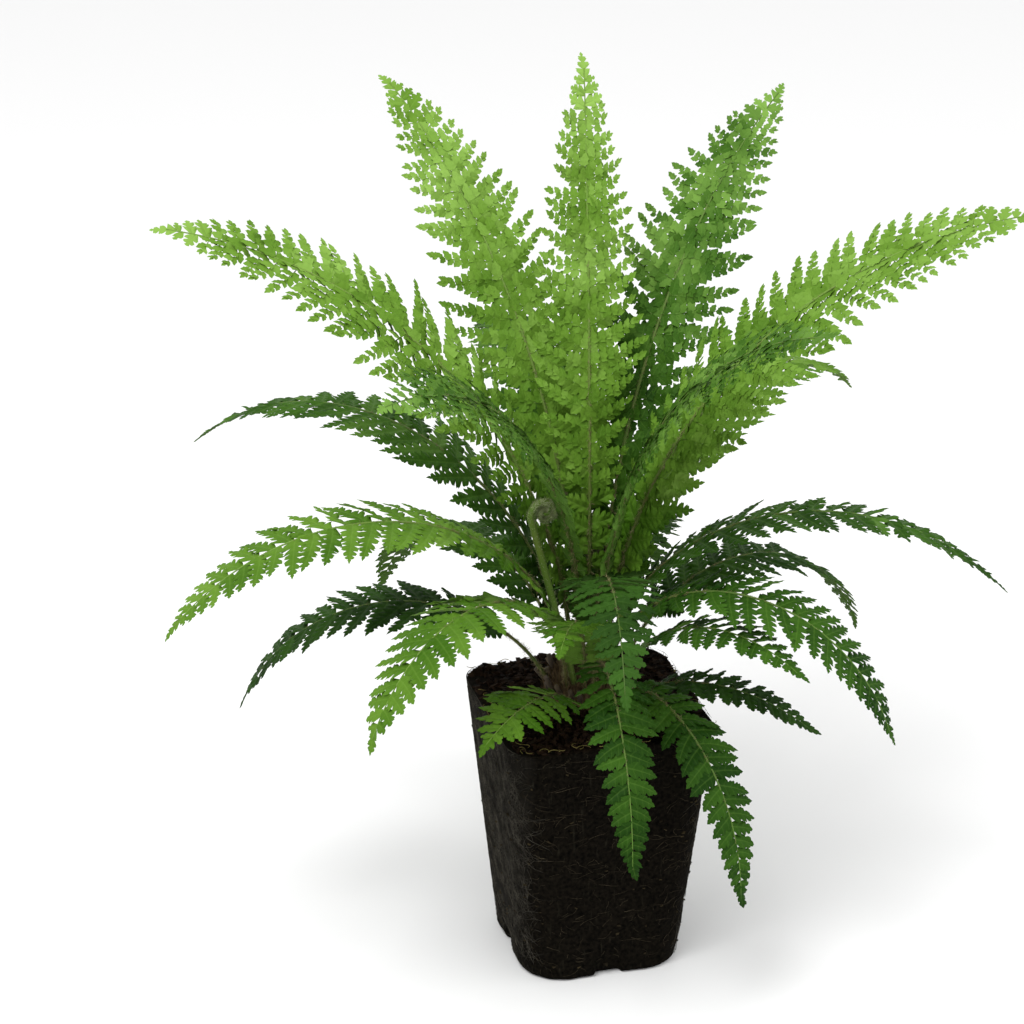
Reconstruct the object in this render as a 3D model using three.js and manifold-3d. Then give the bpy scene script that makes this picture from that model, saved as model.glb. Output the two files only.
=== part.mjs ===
// Young soft shield fern (Polystichum setiferum) with its root ball, as it leaves a 9 cm square pot.
// The root ball keeps the inner shape of the pot: square with round corners, narrower at the foot,
// with the print of a drainage slot low in each side. A scaly crown sits in the compost, and the
// fronds and the coiled young fronds stand in holes in the crown.
// Millimetres, +Z up. The origin is the middle of the flat foot. The flat sides face +-X and +-Y.
import * as THREE from "three";
import { mergeVertices } from "three/addons/utils/BufferGeometryUtils.js";
import Module from "manifold-3d";

const wasm = await Module();
wasm.setup();

// Root ball
const BALL_TOP = 90; // side of the square at the soil line
const BALL_FOOT = 70; // side of the square at the foot
const BALL_HEIGHT = 116;
const TOP_CORNER = 14; // corner radius at the soil line
const FOOT_CORNER = 19; // corner radius at the foot
const FOOT_ROUNDING = 3; // rounding between the foot and the sides
const SOIL_MOUND = 5; // how far the soil rises from the edge to the crown
const SLOT_WIDTH = 12; // drainage slot prints
const SLOT_HEIGHT = 12;
const SLOT_DEPTH = 3;
const CHIP_COUNT = 9; // bark chips that stand out of the soil
const CHIP_SIZE = [9, 4, 2.4];

// Crown
const CROWN_RADIUS = 18;
const CROWN_SUNK = 8; // below the soil line
const CROWN_RISE = 13; // above the soil line
const CLEARANCE = 0.45; // between pieces that stand in each other
const SOCKET_DEPTH = 7; // how deep a stem stands in the crown
const STUB_COUNT = 7; // stumps of old stems round the crown

// Stems and leaflets
const STEM_WIDTH = 2.6; // at the foot of a frond
const STEM_THICKNESS = 2.4;
const TIP_WIDTH = 1.0; // of the rib where the blade ends
const TIP_THICKNESS = 0.8;
const BLADE_THICKNESS = 0.6;
const STRAIGHT_SHARE = 0.08; // of a frond's length that is straight, in its socket
const SPINE_STEPS = 60;
const FORWARD_LEAN = 20; // degrees that a leaflet leans towards the tip
const LEAFLET_DROOP = 0.0045; // arch of a leaflet, per mm
const TIP_LEAFLET = 9; // length of the leaflet that ends a frond
const LOBED_SHARE = 0.5; // of the blade whose leaflets have lobes
const POINTED_FROM = 0.9; // share of the blade where the leaflets become plain points
const LEAFLET_FILL = 0.97; // leaflet width as a share of the spacing

// Coiled young fronds
const CROZIER_STEM = 3; // thickness of the stem
const CROZIER_TIP = 1.3; // thickness at the middle of the coil
const CROZIER_TURNS = 1.35;
const CROZIER_CORE = 0.24; // radius at the middle of the coil, as a share of its outer radius
const CROZIER_SIDES = 5;
const COIL_STEPS = 14;

const UP = new THREE.Vector3(0, 0, 1);
const SOIL_LINE = BALL_HEIGHT;

// The fronds, listed by hand. heading: compass direction of the frond, anticlockwise from +X.
// ring: distance of its foot from the middle of the crown. rise and tip: slope at the foot and at
// the tip. bend: above 1 it stays straight for longer. sweep: how far it curves sideways.
// roll: how far the blade turns about its rib. half: longest leaflet. stem: share without leaflets.
const FRONDS = [
  // low fronds that hang over the edge
  { name: "frond_low_front_left", heading: 214, ring: 14, length: 176, rise: 85, tip: -66, bend: 0.9, sweep: 0, roll: 8, half: 31, pairs: 11, stem: 0.26, leaf: "fresh" },
  { name: "frond_low_edge", heading: 228, ring: 14, length: 78, rise: 40, tip: -34, bend: 1.0, sweep: -14, roll: -6, half: 23, pairs: 7, stem: 0.16, leaf: "fresh" },
  { name: "frond_hanging_front", heading: 262, ring: 14, length: 146, rise: 84, tip: -94, bend: 0.62, sweep: 6, roll: 0, half: 18, pairs: 11, stem: 0.18, leaf: "green" },
  { name: "frond_hanging_corner", heading: 292, ring: 14, length: 138, rise: 54, tip: -92, bend: 0.55, sweep: 5, roll: 4, half: 18, pairs: 11, stem: 0.16, leaf: "green" },
  { name: "frond_low_right", heading: 326, ring: 14, length: 92, rise: 30, tip: -38, bend: 0.9, sweep: 0, roll: 6, half: 14, pairs: 8, stem: 0.2, leaf: "deep" },
  { name: "frond_low_back_right", heading: 14, ring: 14, length: 170, rise: 66, tip: -74, bend: 0.9, sweep: 4, roll: 0, half: 26, pairs: 11, stem: 0.2, leaf: "green" },
  { name: "frond_low_back", heading: 62, ring: 14, length: 180, rise: 60, tip: -80, bend: 0.9, sweep: 0, roll: -5, half: 26, pairs: 11, stem: 0.2, leaf: "deep" },
  { name: "frond_low_back_left", heading: 113, ring: 14, length: 178, rise: 62, tip: -72, bend: 0.9, sweep: 0, roll: 5, half: 26, pairs: 11, stem: 0.2, leaf: "green" },
  { name: "frond_low_left", heading: 163, ring: 14, length: 172, rise: 58, tip: -70, bend: 0.9, sweep: 0, roll: -4, half: 26, pairs: 11, stem: 0.2, leaf: "deep" },
  // middle fronds that arch outwards
  { name: "frond_arch_front_right", heading: 318, ring: 9, length: 186, rise: 84, tip: -76, bend: 0.8, sweep: 6, roll: 6, half: 26, pairs: 12, stem: 0.22, leaf: "green" },
  { name: "frond_arch_right", heading: 346, ring: 9, length: 224, rise: 87, tip: -48, bend: 0.75, sweep: -2, roll: -6, half: 29, pairs: 12, stem: 0.22, leaf: "green" },
  { name: "frond_arch_back_right", heading: 36, ring: 9, length: 252, rise: 80, tip: -44, bend: 1.0, sweep: 0, roll: 4, half: 32, pairs: 12, stem: 0.24, leaf: "fresh" },
  { name: "frond_arch_back", heading: 88, ring: 9, length: 258, rise: 80, tip: -40, bend: 1.0, sweep: 0, roll: -4, half: 32, pairs: 12, stem: 0.26, leaf: "green" },
  { name: "frond_arch_back_left", heading: 138, ring: 9, length: 250, rise: 80, tip: -44, bend: 1.0, sweep: 0, roll: 4, half: 32, pairs: 12, stem: 0.24, leaf: "green" },
  { name: "frond_arch_left", heading: 184, ring: 9, length: 236, rise: 84, tip: -50, bend: 0.85, sweep: 0, roll: -4, half: 30, pairs: 12, stem: 0.3, leaf: "fresh" },
  { name: "frond_arch_front", heading: 262, ring: 8.5, length: 178, rise: 88, tip: -50, bend: 1.0, sweep: -4, roll: 0, half: 25, pairs: 11, stem: 0.3, leaf: "deep" },
  // short young fronds that fill the front
  { name: "frond_young_left", heading: 248, ring: 12, length: 112, rise: 80, tip: -14, bend: 1.0, sweep: -4, roll: 4, half: 24, pairs: 7, stem: 0.24, leaf: "fresh" },
  { name: "frond_young_right", heading: 308, ring: 13.5, length: 120, rise: 74, tip: -35, bend: 0.9, sweep: 0, roll: 0, half: 22, pairs: 7, stem: 0.26, leaf: "green" },
  // tall fronds in the middle
  { name: "frond_tall_middle", heading: 78, ring: 0.1, length: 268, rise: 90, tip: 62, bend: 1.0, sweep: 0, roll: 0, half: 26, pairs: 12, stem: 0.32, leaf: "fresh" },
  { name: "frond_tall_right", heading: 347, ring: 5.5, length: 298, rise: 84, tip: 6, bend: 1.1, sweep: 0, roll: 30, half: 33, pairs: 13, stem: 0.28, leaf: "fresh" },
  { name: "frond_tall_back_right", heading: 40, ring: 5.5, length: 285, rise: 86, tip: 22, bend: 1.1, sweep: 0, roll: 24, half: 32, pairs: 12, stem: 0.35, leaf: "green" },
  { name: "frond_tall_back_left", heading: 114, ring: 5.5, length: 285, rise: 86, tip: 28, bend: 1.1, sweep: 0, roll: -26, half: 32, pairs: 12, stem: 0.32, leaf: "fresh" },
  { name: "frond_tall_left", heading: 168, ring: 5.5, length: 292, rise: 84, tip: 8, bend: 1.1, sweep: 0, roll: -30, half: 33, pairs: 13, stem: 0.31, leaf: "fresh" },
  { name: "frond_tall_front_left", heading: 222, ring: 5, length: 256, rise: 88, tip: 2, bend: 1.1, sweep: 0, roll: -30, half: 29, pairs: 12, stem: 0.4, leaf: "green" },
  { name: "frond_tall_front_right", heading: 298, ring: 5, length: 250, rise: 88, tip: 14, bend: 1.2, sweep: 0, roll: 30, half: 29, pairs: 12, stem: 0.32, leaf: "green" },
];

// Coiled young fronds. stands: direction of the foot from the middle of the crown. heading: direction
// in which it leans and curls. height: of the middle of the coil above the soil line.
const CROZIERS = [
  { name: "crozier_front", stands: 226, heading: 184, ring: 9.5, lean: 76, height: 84, coil: 6.4 },
  { name: "crozier_right", stands: 284, heading: 330, ring: 10, lean: 78, height: 40, coil: 4.6 },
  { name: "crozier_back", stands: 62, heading: 40, ring: 8.5, lean: 86, height: 56, coil: 4.8 },
];

const MATERIALS = {
  fresh: new THREE.MeshStandardMaterial({ color: 0x9cc23a, roughness: 0.6, metalness: 0 }),
  green: new THREE.MeshStandardMaterial({ color: 0x5f9a30, roughness: 0.6, metalness: 0 }),
  deep: new THREE.MeshStandardMaterial({ color: 0x3c7426, roughness: 0.6, metalness: 0 }),
  crozier: new THREE.MeshStandardMaterial({ color: 0x9aa06a, roughness: 0.9, metalness: 0 }),
  crown: new THREE.MeshStandardMaterial({ color: 0x5a4126, roughness: 0.95, metalness: 0 }),
  compost: new THREE.MeshStandardMaterial({ color: 0x1c1712, roughness: 0.98, metalness: 0 }),
};

const radians = THREE.MathUtils.degToRad;
const mix = THREE.MathUtils.lerp;
const ease = (x) => THREE.MathUtils.smoothstep(x, 0, 1);

// A seeded random number from 0 to 1, the same on each run.
function seeded(seed) {
  let state = seed;
  return () => {
    state = (state * 16807) % 2147483647;
    return state / 2147483647;
  };
}

// A closed three.js geometry as a solid that can be cut and joined.
function solidOf(geometry) {
  const bare = geometry.clone().deleteAttribute("normal").deleteAttribute("uv");
  const merged = mergeVertices(bare, 1e-4);
  const vertProperties = merged.attributes.position.array;
  const triVerts = new Uint32Array(merged.index.array);
  return new wasm.Manifold(new wasm.Mesh({ numProp: 3, vertProperties, triVerts }));
}

function geometryOf(solid) {
  const mesh = solid.getMesh();
  const geometry = new THREE.BufferGeometry();
  geometry.setAttribute("position", new THREE.BufferAttribute(mesh.vertProperties, 3));
  geometry.setIndex(new THREE.BufferAttribute(mesh.triVerts, 1));
  return geometry;
}

// A growing list of points and triangles that ends as one closed mesh.
class Surface {
  constructor() {
    this.points = [];
    this.faces = [];
  }
  point(v) {
    this.points.push(v.x, v.y, v.z);
    return this.points.length / 3 - 1;
  }
  triangle(a, b, c) {
    this.faces.push(a, b, c);
  }
  quad(a, b, c, d) {
    this.triangle(a, b, c);
    this.triangle(a, c, d);
  }
  geometry() {
    const geometry = new THREE.BufferGeometry();
    geometry.setAttribute("position", new THREE.Float32BufferAttribute(this.points, 3));
    geometry.setIndex(this.faces);
    return geometry;
  }
}

// Points round a square of side 2 * half with round corners, anticlockwise, at height z.
function roundSquare(half, corner, z) {
  const ring = [];
  const cornerSteps = 3;
  for (let side = 0; side < 4; side++) {
    const turn = (side * Math.PI) / 2;
    const middle = new THREE.Vector3(half, 0, z);
    ring.push(middle.applyAxisAngle(UP, turn));
    for (let i = 0; i <= cornerSteps; i++) {
      const angle = ((i / cornerSteps) * Math.PI) / 2;
      const x = half - corner + corner * Math.cos(angle);
      const y = half - corner + corner * Math.sin(angle);
      ring.push(new THREE.Vector3(x, y, z).applyAxisAngle(UP, turn));
    }
  }
  return ring;
}

// Half the side of the root ball at height z, and its corner radius there.
const ballHalf = (z) => mix(BALL_FOOT, BALL_TOP, z / BALL_HEIGHT) / 2;
const ballCorner = (z) => mix(FOOT_CORNER, TOP_CORNER, z / BALL_HEIGHT);

// Height of the soil at a share of the way from the middle to the edge, with shallow lumps.
function soilHeight(share, angle) {
  const lumps = 0.9 * Math.sin(5 * angle + 1) * Math.sin(7 * share * Math.PI);
  return SOIL_LINE + SOIL_MOUND * (1 - share * share) + lumps * (1 - share);
}

function rootBall(random) {
  const surface = new Surface();
  const rings = [];
  const insetAt = (angle) => FOOT_ROUNDING * (1 - Math.sin(angle));
  const riseAt = (angle) => FOOT_ROUNDING * (1 - Math.cos(angle));
  for (const angle of [0, Math.PI / 4, Math.PI / 2]) {
    const z = riseAt(angle);
    const half = ballHalf(z) - insetAt(angle);
    rings.push(roundSquare(half, ballCorner(z), z));
  }
  rings.push(roundSquare(ballHalf(BALL_HEIGHT / 2), ballCorner(BALL_HEIGHT / 2), BALL_HEIGHT / 2));
  rings.push(roundSquare(ballHalf(SOIL_LINE - 2), ballCorner(SOIL_LINE - 2), SOIL_LINE - 2));
  for (const share of [0.97, 0.78, 0.55]) {
    const ring = roundSquare((BALL_TOP / 2) * share, TOP_CORNER * share, 0);
    ring.forEach((p) => p.setZ(soilHeight(share, Math.atan2(p.y, p.x))));
    rings.push(ring);
  }
  const indices = rings.map((ring) => ring.map((p) => surface.point(p)));
  const count = indices[0].length;
  for (let r = 0; r + 1 < indices.length; r++)
    for (let i = 0; i < count; i++) {
      const j = (i + 1) % count;
      surface.quad(indices[r][i], indices[r][j], indices[r + 1][j], indices[r + 1][i]);
    }
  const foot = surface.point(new THREE.Vector3(0, 0, 0));
  const top = surface.point(new THREE.Vector3(0, 0, soilHeight(0, 0)));
  const last = indices.at(-1);
  for (let i = 0; i < count; i++) {
    const j = (i + 1) % count;
    surface.triangle(foot, indices[0][j], indices[0][i]);
    surface.triangle(top, last[i], last[j]);
  }
  let ball = solidOf(surface.geometry());
  for (let i = 0; i < CHIP_COUNT; i++) ball = ball.add(barkChip(random, i));
  for (let side = 0; side < 4; side++) ball = ball.subtract(slotPrint((side * Math.PI) / 2));
  return ball.subtract(crownPocket());
}

// A chip of bark that lies half sunk on the soil, outside the crown.
function barkChip(random, i) {
  const angle = (i / CHIP_COUNT) * 2 * Math.PI + 0.3 * random();
  const distance = mix(26, 39, random());
  const size = CHIP_SIZE.map((s) => s * mix(0.7, 1.2, random()));
  const chip = new THREE.BoxGeometry(...size);
  const turn = new THREE.Euler(mix(-0.4, 0.4, random()), mix(-0.3, 0.3, random()), Math.PI * random());
  chip.applyMatrix4(new THREE.Matrix4().makeRotationFromEuler(turn));
  const share = distance / (BALL_TOP / 2);
  chip.translate(distance * Math.cos(angle), distance * Math.sin(angle), soilHeight(share, angle) + 0.3);
  return solidOf(chip);
}

// The wedge that a drainage slot of the pot keeps free of compost, low in one side.
function slotPrint(turn) {
  const wall = ballHalf(0) + 5;
  const outline = new THREE.Shape();
  outline.moveTo(ballHalf(0) - SLOT_DEPTH, -1);
  outline.lineTo(wall, -1);
  outline.lineTo(wall, SLOT_HEIGHT + 2);
  outline.lineTo(ballHalf(SLOT_HEIGHT), SLOT_HEIGHT);
  const wedge = new THREE.ExtrudeGeometry(outline, { depth: SLOT_WIDTH, bevelEnabled: false });
  wedge.translate(0, 0, -SLOT_WIDTH / 2);
  wedge.rotateX(Math.PI / 2);
  wedge.rotateZ(turn);
  return solidOf(wedge);
}

// Outline of the crown, from its underside to its top, as [radius, height above the soil line].
function crownProfile(gap) {
  const radius = CROWN_RADIUS + gap;
  return [
    [0, -CROWN_SUNK - gap],
    [radius * 0.8, -CROWN_SUNK - gap],
    [radius, -CROWN_SUNK * 0.4],
    [radius, CROWN_RISE * 0.35],
    [radius * 0.86, CROWN_RISE * 0.72],
    [radius * 0.5, CROWN_RISE * 0.97],
    [0, CROWN_RISE + gap],
  ];
}

function crownTurned(gap) {
  const profile = crownProfile(gap).map(([r, z]) => new THREE.Vector2(r, z));
  const turned = new THREE.LatheGeometry(profile, 14);
  turned.rotateX(Math.PI / 2);
  turned.translate(0, 0, SOIL_LINE);
  return solidOf(turned);
}

const crownPocket = () => crownTurned(CLEARANCE);

// Foot of a stem: a point on the crown, sunk by the depth of its socket. It stands in the direction of
// the stem's own heading, unless stands gives another one.
function footOf({ heading, ring, stands = heading }) {
  const share = ring / CROWN_RADIUS;
  const height = SOIL_LINE + CROWN_RISE * Math.sqrt(1 - 0.55 * share * share) - SOCKET_DEPTH;
  const angle = radians(stands);
  return new THREE.Vector3(ring * Math.cos(angle), ring * Math.sin(angle), height);
}

// Direction of a frond's rib at t, from 0 at the foot to 1 at the tip.
function directionAt(frond, t) {
  const bent = Math.max(0, t - STRAIGHT_SHARE) / (1 - STRAIGHT_SHARE);
  const slope = radians(mix(frond.rise, frond.tip, bent ** frond.bend));
  const heading = radians(frond.heading + frond.sweep * bent);
  const level = Math.cos(slope);
  return new THREE.Vector3(level * Math.cos(heading), level * Math.sin(heading), Math.sin(slope));
}

// The rib as points a step apart, summed up from its directions.
function spineOf(frond) {
  const points = [footOf(frond)];
  const step = frond.length / SPINE_STEPS;
  for (let i = 0; i < SPINE_STEPS; i++) {
    const along = directionAt(frond, (i + 0.5) / SPINE_STEPS);
    points.push(points[i].clone().addScaledVector(along, step));
  }
  return points;
}

// Place and axes of the rib at t: along it, to its left side and out of its upper face.
function frameAt(frond, spine, t) {
  const x = Math.min(t, 1) * SPINE_STEPS;
  const i = Math.min(Math.floor(x), SPINE_STEPS - 1);
  const at = spine[i].clone().lerp(spine[i + 1], x - i);
  const along = directionAt(frond, t);
  const bent = Math.max(0, t - STRAIGHT_SHARE) / (1 - STRAIGHT_SHARE);
  const heading = radians(frond.heading + frond.sweep * bent);
  const side = new THREE.Vector3(-Math.sin(heading), Math.cos(heading), 0);
  side.applyAxisAngle(along, radians(frond.roll) * ease(t / frond.stem));
  const upper = along.clone().cross(side);
  return { at, along, side, upper };
}

// Length of a leaflet at u, from 0 where the blade starts to 1 at the tip, as a share of the longest.
const leafletShare = (u) => (0.55 + 0.45 * ease(u / 0.35)) * (1 - u * u) ** 0.85;

// Outline of a leaflet: [share of its length, width towards the foot, width towards the tip], the
// widths as shares of the spacing. A wide point on one side faces a notch on the other.
const LOBED = [[0.16, 0.38, 0.58], [0.38, 0.48, 0.26], [0.62, 0.22, 0.4]];
const PLAIN = [[0.34, 0.42, 0.48]];
const POINTED = [];

function outlineAt(u) {
  if (u < LOBED_SHARE) return LOBED;
  return u < POINTED_FROM ? PLAIN : POINTED;
}

// Adds a leaflet to the surface. root: its four corners on the rib, upper and lower face, near and far
// from the foot. The outline goes out along the near edge and back along the far edge.
function addLeaflet(surface, { root, at, out, across, upper, length, width, outline, mirrored }) {
  const place = (share, offset, face) => {
    const reach = share * length;
    const p = at.clone().addScaledVector(out, reach).addScaledVector(across, offset);
    return surface.point(p.addScaledVector(upper, face * (BLADE_THICKNESS / 2) - LEAFLET_DROOP * reach * reach));
  };
  const quad = (a, b, c, d) => (mirrored ? surface.quad(a, b, c, d) : surface.quad(d, c, b, a));
  const triangle = (a, b, c) => (mirrored ? surface.triangle(a, b, c) : surface.triangle(c, b, a));
  let last = root;
  for (const [share, near, far] of outline) {
    const next = {
      nearTop: place(share, -near * width, 1),
      farTop: place(share, far * width, 1),
      nearLow: place(share, -near * width, -1),
      farLow: place(share, far * width, -1),
    };
    quad(last.nearTop, next.nearTop, next.farTop, last.farTop);
    quad(next.farLow, next.nearLow, last.nearLow, last.farLow);
    quad(last.nearLow, next.nearLow, next.nearTop, last.nearTop);
    quad(last.farTop, next.farTop, next.farLow, last.farLow);
    last = next;
  }
  const tipTop = place(1, 0, 1);
  const tipLow = place(1, 0, -1);
  triangle(last.nearTop, tipTop, last.farTop);
  triangle(last.farLow, tipLow, last.nearLow);
  quad(last.nearLow, tipLow, tipTop, last.nearTop);
  quad(last.farTop, tipTop, tipLow, last.farLow);
}

// One frond as a closed surface: a rib with four edges, and leaflets that grow out of its two sides.
function frondGeometry(frond) {
  const surface = new Surface();
  const spine = spineOf(frond);
  const ringAt = (t) => {
    const { at, side, upper } = frameAt(frond, spine, t);
    const halfWidth = mix(STEM_WIDTH, TIP_WIDTH, t) / 2;
    const halfThickness = mix(STEM_THICKNESS, TIP_THICKNESS, t) / 2;
    const corner = (s, u) =>
      surface.point(at.clone().addScaledVector(side, s * halfWidth).addScaledVector(upper, u * halfThickness));
    return { leftTop: corner(1, 1), rightTop: corner(-1, 1), rightLow: corner(-1, -1), leftLow: corner(1, -1), t, halfWidth };
  };
  const face = {
    top: (a, b) => surface.quad(a.leftTop, a.rightTop, b.rightTop, b.leftTop),
    low: (a, b) => surface.quad(a.rightLow, a.leftLow, b.leftLow, b.rightLow),
    left: (a, b) => surface.quad(a.leftLow, a.leftTop, b.leftTop, b.leftLow),
    right: (a, b) => surface.quad(a.rightTop, a.rightLow, b.rightLow, b.rightTop),
  };
  const first = ringAt(0);
  surface.quad(first.leftTop, first.leftLow, first.rightLow, first.rightTop);
  let last = first;
  const plainTo = (ring) => {
    for (const add of Object.values(face)) add(last, ring);
    last = ring;
  };
  for (const share of [0.3, 0.55, 0.8]) plainTo(ringAt(frond.stem * share));
  const starts = leafletPlaces(frond);
  starts.forEach(({ t, spacing, u }) => {
    const grip = (0.24 * spacing) / frond.length;
    plainTo(ringAt(t - grip));
    const next = ringAt(t + grip);
    face.top(last, next);
    face.low(last, next);
    for (const s of [1, -1]) addSideLeaflet(surface, frond, spine, { near: last, far: next, s, t, spacing, u });
    last = next;
  });
  plainTo(ringAt(1 - TIP_LEAFLET / frond.length));
  const { along, side, upper, at } = frameAt(frond, spine, last.t);
  addLeaflet(surface, {
    root: { nearTop: last.leftTop, farTop: last.rightTop, nearLow: last.leftLow, farLow: last.rightLow },
    at,
    out: along,
    across: side.clone().negate(),
    upper,
    length: TIP_LEAFLET,
    width: TIP_LEAFLET * 0.7,
    outline: PLAIN,
    mirrored: false,
  });
  return surface.geometry();
}

// Where the leaflets stand: closer together towards the tip.
function leafletPlaces(frond) {
  const bladeEnd = 1 - TIP_LEAFLET / frond.length;
  const uAt = (i) => 1 - (1 - i / frond.pairs) ** 1.2;
  return Array.from({ length: frond.pairs }, (_, i) => {
    const u = uAt(i + 0.5);
    const spacing = (uAt(i + 1) - uAt(i)) * (bladeEnd - frond.stem) * frond.length;
    return { t: mix(frond.stem, bladeEnd, u), spacing, u };
  });
}

function addSideLeaflet(surface, frond, spine, { near, far, s, t, spacing, u }) {
  const { at, along, side, upper } = frameAt(frond, spine, t);
  const lean = radians(FORWARD_LEAN);
  const outwards = side.clone().multiplyScalar(s);
  const out = outwards.clone().multiplyScalar(Math.cos(lean)).addScaledVector(along, Math.sin(lean));
  const across = along.clone().multiplyScalar(Math.cos(lean)).addScaledVector(outwards, -Math.sin(lean));
  const left = s > 0;
  addLeaflet(surface, {
    root: {
      nearTop: left ? near.leftTop : near.rightTop,
      farTop: left ? far.leftTop : far.rightTop,
      nearLow: left ? near.leftLow : near.rightLow,
      farLow: left ? far.leftLow : far.rightLow,
    },
    at: at.addScaledVector(outwards, near.halfWidth),
    out,
    across,
    upper,
    length: frond.half * leafletShare(u),
    width: spacing * LEAFLET_FILL,
    outline: outlineAt(u),
    mirrored: !left,
  });
}

// A straight hole in the crown for the foot of a stem that stands in it.
function socket(frond, width, thickness) {
  const { at, along, side, upper } = frameAt(frond, spineOf({ ...frond, length: 1 }), 0);
  const deep = SOCKET_DEPTH * 4;
  const hole = new THREE.BoxGeometry(width + 2 * CLEARANCE, thickness + 2 * CLEARANCE, deep);
  hole.translate(0, 0, deep / 2 - CLEARANCE);
  hole.applyMatrix4(new THREE.Matrix4().makeBasis(side, upper, along).setPosition(at));
  return solidOf(hole);
}

function crownSolid() {
  let crown = crownTurned(0);
  for (let i = 0; i < STUB_COUNT; i++) {
    const angle = ((i + 0.5) / STUB_COUNT) * 2 * Math.PI;
    const stub = new THREE.CylinderGeometry(0.9, 1.5, 13, 5);
    stub.rotateX(Math.PI / 2);
    stub.rotateY(radians(28));
    stub.translate(CROWN_RADIUS * 0.93, 0, SOIL_LINE + CROWN_RISE * 0.55);
    stub.rotateZ(angle);
    crown = crown.add(solidOf(stub));
  }
  for (const frond of FRONDS) crown = crown.subtract(socket(frond, STEM_WIDTH, STEM_THICKNESS));
  for (const c of CROZIERS) crown = crown.subtract(socket(crozierStem(c), CROZIER_STEM, CROZIER_STEM));
  return crown;
}

// Coiled young fronds
const crozierStem = ({ heading, ring, stands, lean }) => ({
  heading, ring, stands, length: 1, rise: lean, tip: lean, bend: 1, sweep: 0, roll: 0, stem: 1,
});

// A straight stem that curls inwards at its top. The radius of the coil shrinks towards its middle.
function crozierGeometry(crozier) {
  const { along, side, upper, at } = frameAt(crozierStem(crozier), spineOf(crozierStem(crozier)), 0);
  const straight = crozier.height + SOCKET_DEPTH - CROZIER_STEM;
  const middle = at.clone().addScaledVector(along, straight).addScaledVector(upper, crozier.coil);
  const path = [];
  for (const share of [0, 0.2, 0.6]) path.push({ p: at.clone().addScaledVector(along, straight * share), share: 0 });
  for (let i = 0; i <= COIL_STEPS; i++) {
    const share = i / COIL_STEPS;
    const angle = share * CROZIER_TURNS * 2 * Math.PI;
    const radius = crozier.coil * mix(1, CROZIER_CORE, share ** 0.8);
    const p = middle.clone().addScaledVector(upper, -radius * Math.cos(angle)).addScaledVector(along, radius * Math.sin(angle));
    path.push({ p, share });
  }
  const surface = new Surface();
  const rings = path.map(({ p, share }, i) => {
    const before = path[Math.max(i - 1, 0)].p;
    const after = path[Math.min(i + 1, path.length - 1)].p;
    const forward = after.clone().sub(before).normalize();
    const outward = side.clone().cross(forward).normalize();
    const radius = mix(CROZIER_STEM, CROZIER_TIP, share) / 2;
    return Array.from({ length: CROZIER_SIDES }, (_, k) => {
      const turn = (k / CROZIER_SIDES) * 2 * Math.PI;
      const q = p.clone().addScaledVector(side, radius * Math.cos(turn)).addScaledVector(outward, radius * Math.sin(turn));
      return surface.point(q);
    });
  });
  for (let r = 0; r + 1 < rings.length; r++)
    for (let k = 0; k < CROZIER_SIDES; k++) {
      const next = (k + 1) % CROZIER_SIDES;
      surface.quad(rings[r][next], rings[r][k], rings[r + 1][k], rings[r + 1][next]);
    }
  const [first, end] = [rings[0], rings.at(-1)];
  for (let k = 1; k + 1 < CROZIER_SIDES; k++) {
    surface.triangle(first[0], first[k], first[k + 1]);
    surface.triangle(end[0], end[k + 1], end[k]);
  }
  return surface.geometry();
}

function meshOf(name, geometry, material) {
  const mesh = new THREE.Mesh(geometry, MATERIALS[material]);
  mesh.name = name;
  return mesh;
}

const fern = new THREE.Group();
fern.add(meshOf("root_ball", geometryOf(rootBall(seeded(7))), "compost"));
fern.add(meshOf("crown", geometryOf(crownSolid()), "crown"));
for (const frond of FRONDS) fern.add(meshOf(frond.name, frondGeometry(frond), frond.leaf));
for (const crozier of CROZIERS) fern.add(meshOf(crozier.name, crozierGeometry(crozier), "crozier"));

export default fern;
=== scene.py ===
# %% [markdown]
# # A young soft shield fern on its root ball
#
# A soft shield fern grows from a short scaly crown. Each frond is a rib with two rows of leaflets, and
# each leaflet is cut again into small toothed pinnules, so one plant holds thousands of them. It could
# be built from a scanned leaf that is copied about, but the copies would all bend alike. Here every
# frond is worked out from a few numbers that say how it rises, bends and turns, the same numbers that
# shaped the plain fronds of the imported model, so each fine frond lies where its plain one does.

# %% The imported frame
import copy

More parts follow.
